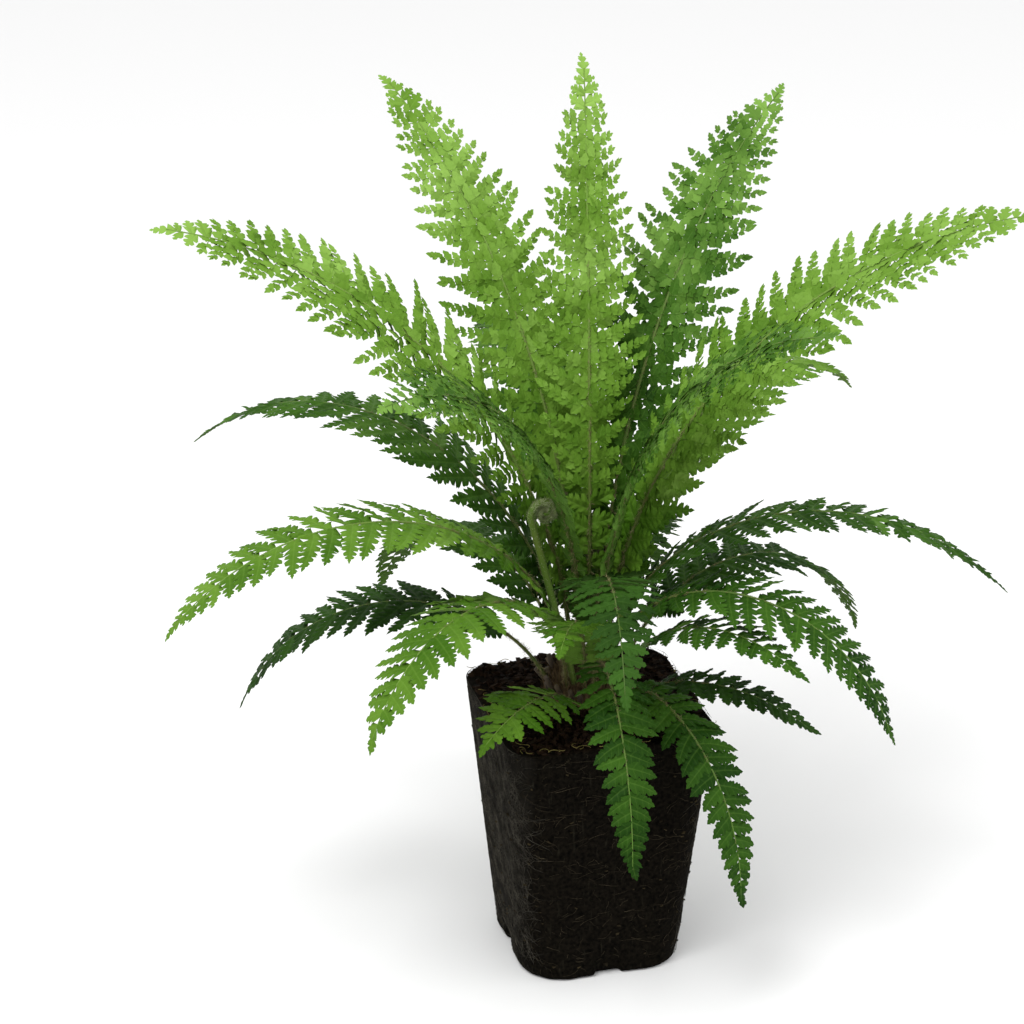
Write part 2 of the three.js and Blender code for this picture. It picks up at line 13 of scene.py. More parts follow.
import bpy
import numpy as np
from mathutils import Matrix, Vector


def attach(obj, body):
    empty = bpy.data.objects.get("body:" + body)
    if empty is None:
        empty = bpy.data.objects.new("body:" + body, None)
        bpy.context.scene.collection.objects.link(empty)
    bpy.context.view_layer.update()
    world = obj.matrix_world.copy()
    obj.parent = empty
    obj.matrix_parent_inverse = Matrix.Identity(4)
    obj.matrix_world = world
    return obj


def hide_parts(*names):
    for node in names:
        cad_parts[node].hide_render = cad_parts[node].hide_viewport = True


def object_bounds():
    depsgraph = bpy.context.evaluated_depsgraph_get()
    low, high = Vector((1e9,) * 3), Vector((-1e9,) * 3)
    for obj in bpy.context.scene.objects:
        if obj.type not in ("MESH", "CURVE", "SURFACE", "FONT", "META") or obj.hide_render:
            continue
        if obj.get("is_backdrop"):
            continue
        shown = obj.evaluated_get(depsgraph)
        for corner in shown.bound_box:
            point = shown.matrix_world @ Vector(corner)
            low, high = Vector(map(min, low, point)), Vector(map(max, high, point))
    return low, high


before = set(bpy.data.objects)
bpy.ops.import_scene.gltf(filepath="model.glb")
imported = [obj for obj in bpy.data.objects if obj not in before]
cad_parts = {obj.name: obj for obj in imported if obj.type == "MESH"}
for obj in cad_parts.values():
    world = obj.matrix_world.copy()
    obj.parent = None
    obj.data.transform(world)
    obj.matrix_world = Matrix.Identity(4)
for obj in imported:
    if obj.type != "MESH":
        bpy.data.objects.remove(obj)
cad_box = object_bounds()
MM = 0.001
print("packed nodes:", len(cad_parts))
print("their box in metres:", [[round(v, 3) for v in end] for end in cad_box])

# %% [markdown]
# ## The camera
#
# The photograph looks down at the plant by 29 degrees and sees the root ball turned by 16.5 degrees. A
# long lens keeps its sides nearly parallel. The camera is placed by those two angles and a distance,
# and then aimed above the root ball, so that no lens shift is needed.

# %% Camera
VIEW_AZIMUTH = np.radians(-16.5)
VIEW_ELEVATION = np.radians(29)
VIEW_DISTANCE = 1.44
BALL_MIDDLE = np.array([0, 0, 0.058])
AIM = (-0.01412, 0.07243, 0.17326)

level = np.cos(VIEW_ELEVATION)
towards_camera = [np.sin(VIEW_AZIMUTH) * level, -np.cos(VIEW_AZIMUTH) * level, np.sin(VIEW_ELEVATION)]
place = BALL_MIDDLE + VIEW_DISTANCE * np.array(towards_camera)

lens = bpy.data.cameras.new("view")
lens.sensor_width = 36
lens.lens = 116.9
lens.clip_start = 0.05
camera = bpy.data.objects.new("view", lens)
camera.location = place
camera.rotation_euler = (Vector(AIM) - Vector(place)).to_track_quat("-Z", "Y").to_euler()
bpy.context.collection.objects.link(camera)
bpy.context.scene.camera = camera
print("camera at", np.round(place, 3))

# %% [markdown]
# ## Floor and light
#
# Leaves look fresh in broad soft light. A bright, even sky fills the shade between the fronds, one
# large lamp above and to the left gives them form, and a weaker one from the right lifts the far side.

# %% Sky and lamps
PLANT_MIDDLE = (0, 0, 0.2)


def soft_lamp(name, location, size, watts):
    """A square lamp of this size in metres, turned towards the middle of the plant."""
    lamp = bpy.data.lights.new(name, "AREA")
    lamp.size = size
    lamp.energy = watts
    holder = bpy.data.objects.new(name, lamp)
    holder.location = location
    holder.rotation_euler = (Vector(PLANT_MIDDLE) - Vector(location)).to_track_quat("-Z", "Y").to_euler()
    bpy.context.collection.objects.link(holder)
    print(name, "gives", watts, "watts from", location)


sky = bpy.data.worlds.new("sky")
sky.use_nodes = True
sky.node_tree.nodes["Background"].inputs["Color"].default_value = (1, 1, 1, 1)
sky.node_tree.nodes["Background"].inputs["Strength"].default_value = 1.25
bpy.context.scene.world = sky
bpy.context.scene.view_settings.view_transform = "Standard"
soft_lamp("main_lamp", (-0.7, -0.7, 1.7), 0.8, 30)
soft_lamp("fill_lamp", (1.2, -0.6, 0.9), 1.0, 7)

# %% Floor
FLOOR_GREY = 0.64

bpy.ops.mesh.primitive_plane_add(size=8)
floor = bpy.context.object
floor.name = "floor"
floor_finish = bpy.data.materials.new("floor")
floor_finish.use_nodes = True
floor_skin = floor_finish.node_tree.nodes["Principled BSDF"]
floor_skin.inputs["Base Color"].default_value = (FLOOR_GREY, FLOOR_GREY, FLOOR_GREY, 1)
floor_skin.inputs["Roughness"].default_value = 0.8
floor.data.materials.append(floor_finish)
floor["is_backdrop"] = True
print("floor in metres:", [round(v, 2) for v in floor.dimensions])

# %% [markdown]
# ## Shader sums
#
# A finish is a small calculation: how light the leaf is here, how dark the vein. Written as nodes it
# fills a screen. This class wraps a node's output, so the calculation can be written as a plain sum.

# %% Shader sums
class Wire:
    """One output of a shader node. A sum on it adds Math nodes to the same finish."""

    def __init__(self, finish, socket):
        self.finish = finish
        self.socket = socket

    def math(self, operation, a, b=0.0):
        return self.finish.node("ShaderNodeMath", {"operation": operation}, {0: a, 1: b})

    def __add__(self, other):
        return self.math("ADD", self, other)

    def __mul__(self, other):
        return self.math("MULTIPLY", self, other)

    def __sub__(self, other):
        return self.math("SUBTRACT", self, other)

    def __rsub__(self, other):
        return self.math("SUBTRACT", other, self)

    __radd__ = __add__
    __rmul__ = __mul__

    def clipped(self):
        """The value held between 0 and 1."""
        return self.math("MINIMUM", self.math("MAXIMUM", self, 0.0), 1.0)


# %% Finishes
class Finish:
    """A material in the making. node() adds a node, and colour() mixes two colours. Gloss is the level of
    its mirror light, from 0 to 1."""

    def __init__(self, name, gloss=0.5):
        self.material = bpy.data.materials.new(name)
        self.material.use_nodes = True
        self.tree = self.material.node_tree
        self.skin = self.tree.nodes["Principled BSDF"]
        self.skin.inputs["Specular IOR Level"].default_value = gloss

    def feed(self, socket, value):
        """Links a wire to the socket, or sets the socket to a plain value."""
        if isinstance(value, Wire):
            self.tree.links.new(value.socket, socket)
        else:
            socket.default_value = value

    def node(self, kind, settings, sockets, output=0):
        """A node of this kind: its settings are made first, then its sockets are set or linked."""
        made = self.tree.nodes.new(kind)
        for key, value in settings.items():
            setattr(made, key, value)
        for key, value in sockets.items():
            self.feed(made.inputs[key], value)
        return Wire(self, made.outputs[output])

    def place(self):
        """The place on the piece in metres, in the plant's own frame."""
        return self.node("ShaderNodeTexCoord", {}, {}, "Object")

    def reach(self, axis):
        """One of the three numbers of the place: 0 for x, 2 for z."""
        return self.node("ShaderNodeSeparateXYZ", {}, {0: self.place()}, axis)

    def noise(self, scale, detail=3.0, stretch=(1, 1, 1)):
        """Smooth noise from 0 to 1 on the piece's own coordinates, in lumps about 1 / scale metres wide."""
        where = self.node("ShaderNodeVectorMath", {"operation": "MULTIPLY"}, {0: self.place(), 1: stretch})
        return self.node("ShaderNodeTexNoise", {}, {"Vector": where, "Scale": scale, "Detail": detail})

    def patches(self, scale, contrast, offset, detail=3.0):
        """Noise times the contrast less the offset, held between 0 and 1: patches with a soft edge."""
        return (self.noise(scale, detail) * contrast - offset).clipped()

    def mark(self, name):
        """The three numbers of a piece's attribute, as three wires."""
        vector = self.node("ShaderNodeAttribute", {"attribute_name": name}, {}, "Vector")
        return [self.node("ShaderNodeSeparateXYZ", {}, {0: vector}, i) for i in range(3)]

    def colour(self, share, low, high):
        """Low where share is 0 and high where it is 1. Either may be a colour or a wire."""
        ends = [end if isinstance(end, Wire) else (*end, 1.0) for end in (low, high)]
        settings = {"data_type": "RGBA"}
        return self.node("ShaderNodeMix", settings, {0: share, 6: ends[0], 7: ends[1]}, 2)

    def wear(self, colour, roughness, bump=None, depth=0.0002, strength=0.4):
        """Links what varies to the skin of the material. Depth is the height of the bumps in metres."""
        self.feed(self.skin.inputs["Base Color"], colour)
        self.feed(self.skin.inputs["Roughness"], roughness)
        if bump is not None:
            sockets = {"Height": bump, "Distance": depth, "Strength": strength}
            self.feed(self.skin.inputs["Normal"], self.node("ShaderNodeBump", {}, sockets))
        return self.material


# %% [markdown]
# ## From numbers to pieces
#
# Every piece below ends as one list of points and one list of triangles. They are gathered in a
# bundle, where each part brings the number of its finish and three numbers for each of its points,
# which the shaders read: for a leaf they say how far along it a point is, how far from its middle
# vein, and a random number that is the same all over one pinnule.

# %% Bundles of points and triangles
class Bundle:
    """Parts of one piece: points, triangles, the number of each part's finish and its marks."""

    def __init__(self):
        self.points, self.faces, self.finish_numbers, self.marks, self.smooth = [], [], [], [], []
        self.count = 0

    def add(self, points, faces, finish_number, marks=(0.5, 0.5, 0.5), smooth=False):
        """Puts a part in the bundle. Its triangles are numbered on from the points that are there."""
        points = np.asarray(points, float).reshape(-1, 3)
        faces = np.asarray(faces).reshape(-1, 3)
        self.points.append(points)
        self.faces.append(faces + self.count)
        self.finish_numbers.append(np.full(len(faces), finish_number))
        self.marks.append(np.broadcast_to(marks, (len(points), 3)))
        self.smooth.append(np.full(len(faces), smooth))
        self.count += len(points)

    def piece(self, name, finishes, slot, *nodes):
        """Makes the piece from the bundle. It rides with the root ball and stands for the nodes."""
        points = np.concatenate(self.points) * MM
        faces = np.concatenate(self.faces)
        mesh = bpy.data.meshes.new(name)
        mesh.vertices.add(len(points))
        mesh.vertices.foreach_set("co", points.ravel())
        mesh.loops.add(faces.size)
        mesh.loops.foreach_set("vertex_index", faces.ravel().astype(np.int32))
        mesh.polygons.add(len(faces))
        mesh.polygons.foreach_set("loop_start", np.arange(0, faces.size, 3, dtype=np.int32))
        mesh.polygons.foreach_set("material_index", np.concatenate(self.finish_numbers).astype(np.int32))
        mesh.polygons.foreach_set("use_smooth", np.concatenate(self.smooth))
        mesh.update(calc_edges=True)
        marks = mesh.attributes.new("marks", "FLOAT_VECTOR", "POINT")
        marks.data.foreach_set("vector", np.concatenate(self.marks).ravel())
        for finish in finishes:
            mesh.materials.append(finish)
        made = bpy.data.objects.new(name, mesh)
        bpy.context.collection.objects.link(made)
        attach(made, "root")
        if nodes:
            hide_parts(*nodes)
        made_faces[name] = len(faces)


made_faces = {}


# %% [markdown]
# ## Rings, tubes and scales
#
# Nearly everything on a plant is a row of rings with a point at each end: stems, roots, leaflets, even
# the root ball. One function joins such rings to triangles. Tubes are made from it, many at once. The
# brown scales on the stems and the crown are thin slivers with three edges and a point.

# %% Rings, tubes and scales
def unit(vectors):
    """Each vector divided by its length."""
    return vectors / (np.linalg.norm(vectors, axis=-1, keepdims=True) + 1e-12)


def ring_faces(rings, sides):
    """Triangles round a row of rings. Their points come ring by ring, then the first end, then the last."""
    r, k = np.meshgrid(np.arange(rings - 1), np.arange(sides), indexing="ij")
    next_k = (k + 1) % sides
    a, b = r * sides + k, r * sides + next_k
    c, d = b + sides, a + sides
    first, last = 0 * k[0] + rings * sides, (rings - 1) * sides
    return np.concatenate([
        np.stack([a, b, c], -1).reshape(-1, 3),
        np.stack([a, c, d], -1).reshape(-1, 3),
        np.stack([first, next_k[0], k[0]], -1),
        np.stack([first + 1, last + k[0], last + next_k[0]], -1),
    ])


def copies(faces, number, points_each):
    """The same triangles for many copies of a shape, whose points follow one another."""
    return (faces + (np.arange(number) * points_each)[:, None, None]).reshape(-1, 3)


def tubes(paths, radii, sides):
    """Tubes along many paths at once. Each path point gets a ring: the point plus the radius times the
    cosine and sine of the turn along two vectors square to the path."""
    number, rings, _ = paths.shape
    along = unit(np.gradient(paths, axis=1))
    least = np.argmin(np.abs(along.mean(axis=1)), axis=1)
    first = unit(np.cross(along, np.eye(3)[least][:, None, :]))
    second = np.cross(along, first)
    turn = np.arange(sides)[:, None] * 2 * np.pi / sides
    circle = np.cos(turn) * first[:, :, None] + np.sin(turn) * second[:, :, None]
    body = paths[:, :, None] + np.broadcast_to(radii, (number, rings))[:, :, None, None] * circle
    points = np.concatenate([body.reshape(number, -1, 3), paths[:, :1], paths[:, -1:]], axis=1)
    return points.reshape(-1, 3), copies(ring_faces(rings, sides), number, points.shape[1])


# %% Scales
SCALE_FACES = np.array([[0, 3, 1], [0, 2, 3], [1, 3, 2], [0, 1, 2]])


def scales(feet, towards, outward, lengths, width):
    """Slivers: two corners across the foot, one corner lifted off the stem, and a tip. They get wider
    with the root of their length: width is that of a scale of one millimetre."""
    widths = width * lengths**0.5
    towards = unit(towards)
    across = unit(np.cross(towards, outward))
    outward = np.cross(across, towards)
    lengths, widths = lengths[:, None], widths[:, None]
    corners = [feet - across * widths / 2, feet + across * widths / 2, feet + outward * widths * 0.3]
    corners.append(feet + towards * lengths)
    return np.stack(corners, axis=1).reshape(-1, 3), copies(SCALE_FACES, len(feet), 4)


print("triangles in a tube of 6 rings of 3:", len(ring_faces(6, 3)), "and in a scale:", len(SCALE_FACES))

# %% [markdown]
# ## The list of fronds
#
# The heading is a compass direction, anticlockwise from +X, and the ring is how far from the middle of
# the crown the frond stands. Rise and tip are its slopes at the foot and at the tip. A bend above 1
# keeps it straight for longer. Sweep curves it sideways, and roll turns the blade about its rib. Half
# is the longest leaflet, and stem the share of the length without leaflets. Cut says how deep the gaps
# in a leaflet go: a third of the way on simple low fronds, and to the rib on the finest, at 1. A coiled
# young frond stands in one direction from the middle of the crown and curls in another. Lengths are
# millimetres.

# %% The list of fronds
FROND_FACTS = (
    "heading", "ring", "length", "rise", "tip", "bend", "sweep", "roll", "half", "stem", "cut", "leaf",
)
# Fronds whose leaf is deep get painted shade: a darker, bluer copy of the green, because they stand in
# shade.
FRONDS = {
    "frond_low_front_left": (214, 14, 176, 85, -66, 0.9, 0, 8, 31, 0.26, 0.46, "fresh"),
    "frond_low_edge": (228, 14, 78, 40, -34, 1.0, -14, -6, 23, 0.16, 0.42, "fresh"),
    "frond_hanging_front": (262, 14, 146, 84, -94, 0.62, 6, 0, 18, 0.18, 0.34, "green"),
    "frond_hanging_corner": (292, 14, 138, 54, -92, 0.55, 5, 4, 18, 0.16, 0.34, "green"),
    "frond_low_right": (326, 14, 92, 30, -38, 0.9, 0, 6, 14, 0.2, 0.34, "deep"),
    "frond_low_back_right": (14, 14, 170, 66, -74, 0.9, 4, 0, 26, 0.2, 0.46, "green"),
    "frond_low_back": (62, 14, 180, 60, -80, 0.9, 0, -5, 26, 0.2, 0.46, "deep"),
    "frond_low_back_left": (113, 14, 178, 62, -72, 0.9, 0, 5, 26, 0.2, 0.46, "green"),
    "frond_low_left": (163, 14, 172, 58, -70, 0.9, 0, -4, 26, 0.2, 0.46, "deep"),
    "frond_arch_front_right": (318, 9, 186, 84, -76, 0.8, 6, 6, 26, 0.22, 0.64, "green"),
    "frond_arch_right": (346, 9, 224, 87, -48, 0.75, -2, -6, 29, 0.22, 0.64, "green"),
    "frond_arch_back_right": (36, 9, 252, 80, -44, 1.0, 0, 4, 32, 0.24, 0.64, "fresh"),
    "frond_arch_back": (88, 9, 258, 80, -40, 1.0, 0, -4, 32, 0.26, 0.64, "green"),
    "frond_arch_back_left": (138, 9, 250, 80, -44, 1.0, 0, 4, 32, 0.24, 0.64, "green"),
    "frond_arch_left": (184, 9, 236, 84, -50, 0.85, 0, -4, 30, 0.3, 0.64, "fresh"),
    "frond_arch_front": (262, 8.5, 178, 88, -50, 1.0, -4, 0, 25, 0.3, 0.5, "deep"),
    "frond_young_left": (248, 12, 112, 80, -14, 1.0, -4, 4, 24, 0.24, 0.46, "fresh"),
    "frond_young_right": (308, 13.5, 120, 74, -35, 0.9, 0, 0, 22, 0.26, 0.46, "green"),
    "frond_tall_middle": (78, 0.1, 268, 90, 62, 1.0, 0, 0, 26, 0.32, 1.0, "fresh"),
    "frond_tall_right": (347, 5.5, 298, 84, 6, 1.1, 0, 30, 33, 0.28, 1.0, "fresh"),
    "frond_tall_back_right": (40, 5.5, 285, 86, 22, 1.1, 0, 24, 32, 0.35, 1.0, "green"),
    "frond_tall_back_left": (114, 5.5, 285, 86, 28, 1.1, 0, -26, 32, 0.32, 1.0, "fresh"),
    "frond_tall_left": (168, 5.5, 292, 84, 8, 1.1, 0, -30, 33, 0.31, 1.0, "fresh"),
    "frond_tall_front_left": (222, 5, 256, 88, 2, 1.1, 0, -30, 29, 0.4, 1.0, "green"),
    "frond_tall_front_right": (298, 5, 250, 88, 14, 1.2, 0, 30, 29, 0.32, 1.0, "green"),
}
CROZIER_FACTS = ("stands", "heading", "ring", "lean", "height", "coil")
CROZIERS = {
    "crozier_front": (226, 184, 9.5, 76, 84, 6.4),
    "crozier_right": (284, 330, 10, 78, 40, 4.6),
    "crozier_back": (62, 40, 8.5, 86, 56, 4.8),
}
print("fronds:", len(FRONDS), "coiled young fronds:", len(CROZIERS))

# %% [markdown]
# ## The rib
#
# A frond's rib is a curve whose slope changes steadily from foot to tip. The direction at each of many
# short steps is worked out first, and summing the steps gives the places. The side vector lies level
# at the foot and turns with the roll of the blade.

# %% The rib
SOIL_LINE = 116.0
CROWN_RADIUS = 18.0
CROWN_RISE = 13.0
SOCKET_DEPTH = 7.0
STRAIGHT_SHARE = 0.08
SPINE_STEPS = 60
TIP_LEAFLET = 9.0


def ease(x):
    """The smooth step: 3 times the square less twice the cube."""
    x = np.clip(x, 0, 1)
    return x * x * (3 - 2 * x)


def foot_of(heading, ring):
    """On the crown, sunk by the depth of the socket: lower the further it is from the middle."""
    height = SOIL_LINE + CROWN_RISE * np.sqrt(1 - 0.55 * (ring / CROWN_RADIUS) ** 2) - SOCKET_DEPTH
    return np.array([ring * np.cos(np.radians(heading)), ring * np.sin(np.radians(heading)), height])


class Rib:
    """The curve of one frond. at(t) gives places and axes for an array t from 0, the foot, to 1."""

    def __init__(self, facts):
        self.facts = facts
        steps = (np.arange(SPINE_STEPS) + 0.5) / SPINE_STEPS
        moves = self.direction(steps) * facts["length"] / SPINE_STEPS
        start = foot_of(facts["heading"], facts["ring"])
        self.places = np.vstack([start, start + np.cumsum(moves, axis=0)])

    def bent(self, t):
        """The share of the bend at t: none along the first straight share."""
        return np.clip(t - STRAIGHT_SHARE, 0, None) / (1 - STRAIGHT_SHARE)

    def direction(self, t):
        """Slope from rise to tip as the bent share to the power bend; heading plus sweep times it."""
        facts = self.facts
        bent = self.bent(t)
        slope = np.radians(facts["rise"] + (facts["tip"] - facts["rise"]) * bent ** facts["bend"])
        heading = np.radians(facts["heading"] + facts["sweep"] * bent)
        level = np.cos(slope)
        return np.stack([level * np.cos(heading), level * np.sin(heading), np.sin(slope)], -1)

    def at(self, t):
        """Places, the direction along the rib, the side vector turned by the roll, and the upper one."""
        t = np.asarray(t, float)
        marks = np.arange(SPINE_STEPS + 1) / SPINE_STEPS
        places = np.stack([np.interp(t, marks, self.places[:, i]) for i in range(3)], -1)
        along = self.direction(t)
        heading = np.radians(self.facts["heading"] + self.facts["sweep"] * self.bent(t))
        side = np.stack([-np.sin(heading), np.cos(heading), 0 * heading], -1)
        roll = (np.radians(self.facts["roll"]) * ease(t / self.facts["stem"]))[..., None]
        side = side * np.cos(roll) + np.cross(along, side) * np.sin(roll)
        return places, along, side, np.cross(along, side)


for name in ("frond_hanging_front", "frond_tall_middle"):
    rib = Rib(dict(zip(FROND_FACTS, FRONDS[name])))
    foot, tip = rib.places[[0, -1]].round(1).tolist()
    print(name, "starts at", foot, "and ends at", tip)

# %% [markdown]
# ## Two rows of leaflets
#
# Each leaflet has its own flat frame: x out along it, y across it towards the frond's tip and z out of
# the blade. Its shape is laid out in that frame, and then the frame is bent: the leaflet droops with
# the square of its reach and curves a little towards the tip. All leaflets pass through this at once.

# %% Two rows of leaflets
FORWARD_LEAN = 20.0
LEAFLET_DROOP = 0.0045
LEAST_LEAFLET = 1.0
TIP_GAIN = 2.4
WIDEST_SHARE = 0.8


def leaflet_share(u):
    """Length of a leaflet at u along the blade, as a share of the longest one."""
    return (0.55 + 0.45 * ease(u / 0.35)) * (1 - u * u) ** 0.85


class Leaflets:
    """Places, axes and sizes of many leaflets, each value an array with one entry a leaflet."""

    def __init__(self, origin, out, across, upper, length, width, random):
        self.origin, self.out, self.across, self.upper = origin, out, across, upper
        self.length, self.width = length, width
        self.mirrored = np.sum(np.cross(out, across) * upper, axis=-1) < 0
        self.droop = LEAFLET_DROOP * random.uniform(0.5, 1.7, len(length))
        self.forward = random.normal(0.13, 0.07, len(length)) / length

    def only(self, chosen):
        """The same places and sizes for some of the leaflets."""
        part = copy.copy(self)
        for name, values in vars(self).items():
            setattr(part, name, values[chosen])
        return part

    def bend(self, which, local):
        """Local x, y, z of these leaflets' points to the plant's frame: y gains forward times x squared,
        and z loses droop times x squared."""
        x, y, z = np.moveaxis(local, -1, 0)
        y = y + self.forward[which, None] * x * x
        z = z - self.droop[which, None] * x * x
        axes = [v[which, None] for v in (self.origin, self.out, self.across, self.upper)]
        return axes[0] + axes[1] * x[..., None] + axes[2] * y[..., None] + axes[3] * z[..., None]


# %% Rows
STALK_SHARE = 0.55


def two_rows(facts, rib, random, small=False):
    """The leaflets of a frond, first the left row, then the right one, a little out of step. Spacing
    grows with the longest leaflet. With small, those of the stalk instead: they stand on its upper half
    and get shorter towards the foot."""
    spacing = 3.4 + 0.17 * facts["half"]
    blade_end = 1 - TIP_LEAFLET / facts["length"]
    blade = (blade_end - facts["stem"]) * facts["length"]
    pairs = int(round(1.1 * blade / spacing))
    left = np.repeat([True, False], pairs)
    i = np.tile(np.arange(pairs), 2)
    if small:
        pairs_on_stalk = int(STALK_SHARE * facts["stem"] * facts["length"] / spacing)
        left = np.repeat([True, False], pairs_on_stalk)
        i = np.tile(np.arange(-pairs_on_stalk, 0), 2)
    numbers = (i + np.where(left, 0.38, 0.62), i, i + 1)
    u, u_before, u_after = (1 - (1 - number / pairs) ** 1.2 for number in numbers)
    places, along, side, upper = rib.at(facts["stem"] + (blade_end - facts["stem"]) * u)
    lean = np.radians(FORWARD_LEAN + random.normal(0, 3.5, len(u)))[:, None]
    outward = np.where(left[:, None], side, -side)
    out = outward * np.cos(lean) + along * np.sin(lean)
    across = along * np.cos(lean) - outward * np.sin(lean)
    twist = random.normal(0.08, 0.12, len(u))[:, None]
    tilted = across * np.cos(twist) + upper * np.sin(twist)
    upper = upper * np.cos(twist) - across * np.sin(twist)
    share = leaflet_share(u) if not small else 0.42 + 0.6 * u
    length = facts["half"] * share * random.normal(1, 0.05, len(u))
    length = length + LEAST_LEAFLET + TIP_GAIN * np.clip(u, 0, 1) ** 3
    width = np.minimum((u_after - u_before) * blade, WIDEST_SHARE * length)
    return Leaflets(places + outward * 0.4, out, tilted, upper, length, width, random)


print("leaflet length from foot to tip, as a share:", np.round(leaflet_share(np.linspace(0, 1, 6)), 2))

# %% [markdown]
# ## Lobed leaflets
#
# On the low fronds of a young plant a leaflet is one blade with a scalloped, toothed edge, and on the
# arching ones the gaps go deeper. Its edge is a row of lobes. A lobe's outline is six given widths: the gap,
# a shoulder, a tooth, a notch, the highest tooth and the fall to the next gap. The cut says how much of the
# width the gap takes away. The edges are shifted towards the leaflet's tip by their distance from the vein,
# so the lobes point forwards. The first ring lies along the frond's rib.

# %% Lobed leaflets
LOBE_STATIONS = np.array([0.0, 0.14, 0.34, 0.47, 0.66, 0.84])
LOBE_REACH = np.array([0.0, 0.62, 0.95, 0.80, 1.0, 0.64])
TIP_STATIONS = np.array([0.0, 0.22, 0.42])
TIP_REACH = np.array([0.0, 0.7, 0.9])
LOBE_PITCH = 3.9
MOST_LOBES = 7
LOBE_LEAN = 0.5
SEAM_LEAN = 0.36
EDGE_SHARE = 0.61
KEEL = 0.30
# The numbers of a frond's finishes. That of the leaf itself is 0.
RIB, SCALE, UNDER = 1, 2, 3


def place_leaves(bundle, points, sides, rings, mirrored, marks):
    """Triangles for many leaves of the same rings, whose last corner is the keel. Triangles of mirrored
    leaves run the other way round, and those at the keel get the finish of the underside."""
    faces = ring_faces(rings, sides)
    under = np.any((faces % sides == sides - 1) & (faces < rings * sides), axis=1)
    faces = np.where(mirrored[:, None, None], faces[:, ::-1], faces)
    faces = faces + (np.arange(len(points)) * points.shape[1])[:, None, None]
    bundle.add(points, faces, np.tile(under * UNDER, len(points)), marks.reshape(-1, 3))


def lobed_leaflets(bundle, leaflets, cut, random):
    """Rings of six: edge, middle, vein, middle, edge, keel. The edge is half the width times a taper, a
    power of what is left of the length, times 1 less the cut's share of the gap."""
    counts = np.clip(np.round(leaflets.length / LOBE_PITCH), 1, MOST_LOBES).astype(int)
    for lobes in np.unique(counts):
        which = np.nonzero(counts == lobes)[0]
        cell = np.concatenate([(np.arange(lobes)[:, None] + LOBE_STATIONS).ravel(), lobes + TIP_STATIONS])
        reach = np.concatenate([np.tile(LOBE_REACH, lobes), TIP_REACH])
        share = 1 - (1 - cell / (lobes + 0.7)) ** 1.2
        taper = (1 - share) ** 0.62 * (1 + 0.6 * share) * (1 - cut * (1 - reach))
        edge = taper * random.normal(1, 0.06, (2, len(which), len(share)))
        edge = edge * leaflets.width[which, None] * EDGE_SHARE
        far = edge[0] * np.where((cell < 1) & (lobes > 2), 1.2, 1.0)
        near = edge[1] * 0.94
        far[:, 0] = near[:, 0] = 0.5 * (1 - cut) * leaflets.width[which]
        x = np.where(cell == 0, -0.5, share * leaflets.length[which, None] * 0.94)
        lean_far = np.where(cell == 0, SEAM_LEAN, LOBE_LEAN)
        lean_near = np.where(cell == 0, -SEAM_LEAN, LOBE_LEAN)
        wave = random.normal(0, 0.16, (2, len(which), 1))
        wave = wave * np.sin(cell * 1.9 + random.uniform(0, 6, (2, len(which), 1)))
        bulge = 0.10 - 0.05 * np.cos(2 * np.pi * cell)
        corners = [
            (x + lean_far * far, far, far * (0.02 + wave[0])),
            (x + lean_far * far / 2, far / 2, far * (bulge + wave[0] / 2)),
            (x, 0 * x, 0 * x),
            (x + lean_near * near / 2, -near / 2, near * (bulge + wave[1] / 2)),
            (x + lean_near * near, -near, near * (0.02 + wave[1])),
            (x, 0 * x, 0 * x - KEEL),
        ]
        rings = np.stack([np.stack(corner, -1) for corner in corners], axis=2).reshape(len(which), -1, 3)
        ends = np.zeros((len(which), 2, 3))
        ends[:, 1, 0] = leaflets.length[which]
        points = leaflets.bend(which, np.concatenate([rings, ends], axis=1))
        marks = np.empty(points.shape)
        marks[:, :-2, 0] = np.repeat(cell, 6)
        marks[:, -2:, 0] = 0.1
        marks[..., 1] = np.append(np.tile([1, 0.5, 0, 0.5, 1, 0.5], len(cell)), [0, 0])
        marks[..., 2] = random.uniform(0, 1, (len(which), 1))
        place_leaves(bundle, points, 6, len(cell), leaflets.mirrored[which], marks)


# %% [markdown]
# ## Divided leaflets
#
# On the tall fronds each leaflet is cut to its rib into separate pinnules: small toothed leaves with a lobe
# like a thumb at the foot, on the side towards the leaflet's tip. One pinnule's outline is a list of widths
# along its length. Copies of it are turned and scaled as one big array. Its axes are the leaflet, the
# pinnule's number along it and the two sides.

# %% Divided leaflets
PINNULE_PITCH = 3.2
MOST_PINNULES = 11
# Along the pinnule, width towards the leaflet's tip, width towards its foot, all for a length of 1.
PINNULE = np.array([
    (0.00, 0.16, 0.12),
    (0.13, 0.50, 0.22),
    (0.29, 0.35, 0.36),
    (0.46, 0.43, 0.25),
    (0.63, 0.26, 0.30),
    (0.81, 0.23, 0.12),
])


def pinnule_rings():
    """Rings of four, edge, vein, other edge and keel, then the foot and the tip."""
    along, wide, narrow = PINNULE.T
    edge = np.stack([along, wide, 0 * along + 0.05], -1)
    vein = np.stack([along, 0 * along, 0 * along], -1)
    other = np.stack([along, -narrow, 0 * along + 0.05], -1)
    points = np.stack([edge, vein, other, vein], 1).reshape(-1, 3)
    marks = np.stack([points[:, 0] * 4, np.tile([1, 0, 1, 0.5], len(PINNULE))], -1)
    return np.vstack([points, [[0, 0, 0], [1, 0.03, 0]]]), np.vstack([marks, [[0, 0], [4, 0.5]]])


PINNULE_POINTS, PINNULE_MARKS = pinnule_rings()
PINNULE_KEEL = np.append(np.tile([0, 0, 0, KEEL], len(PINNULE)), [KEEL / 2, 0])
print("points in a pinnule:", len(PINNULE_POINTS), "triangles:", len(ring_faces(len(PINNULE), 4)))


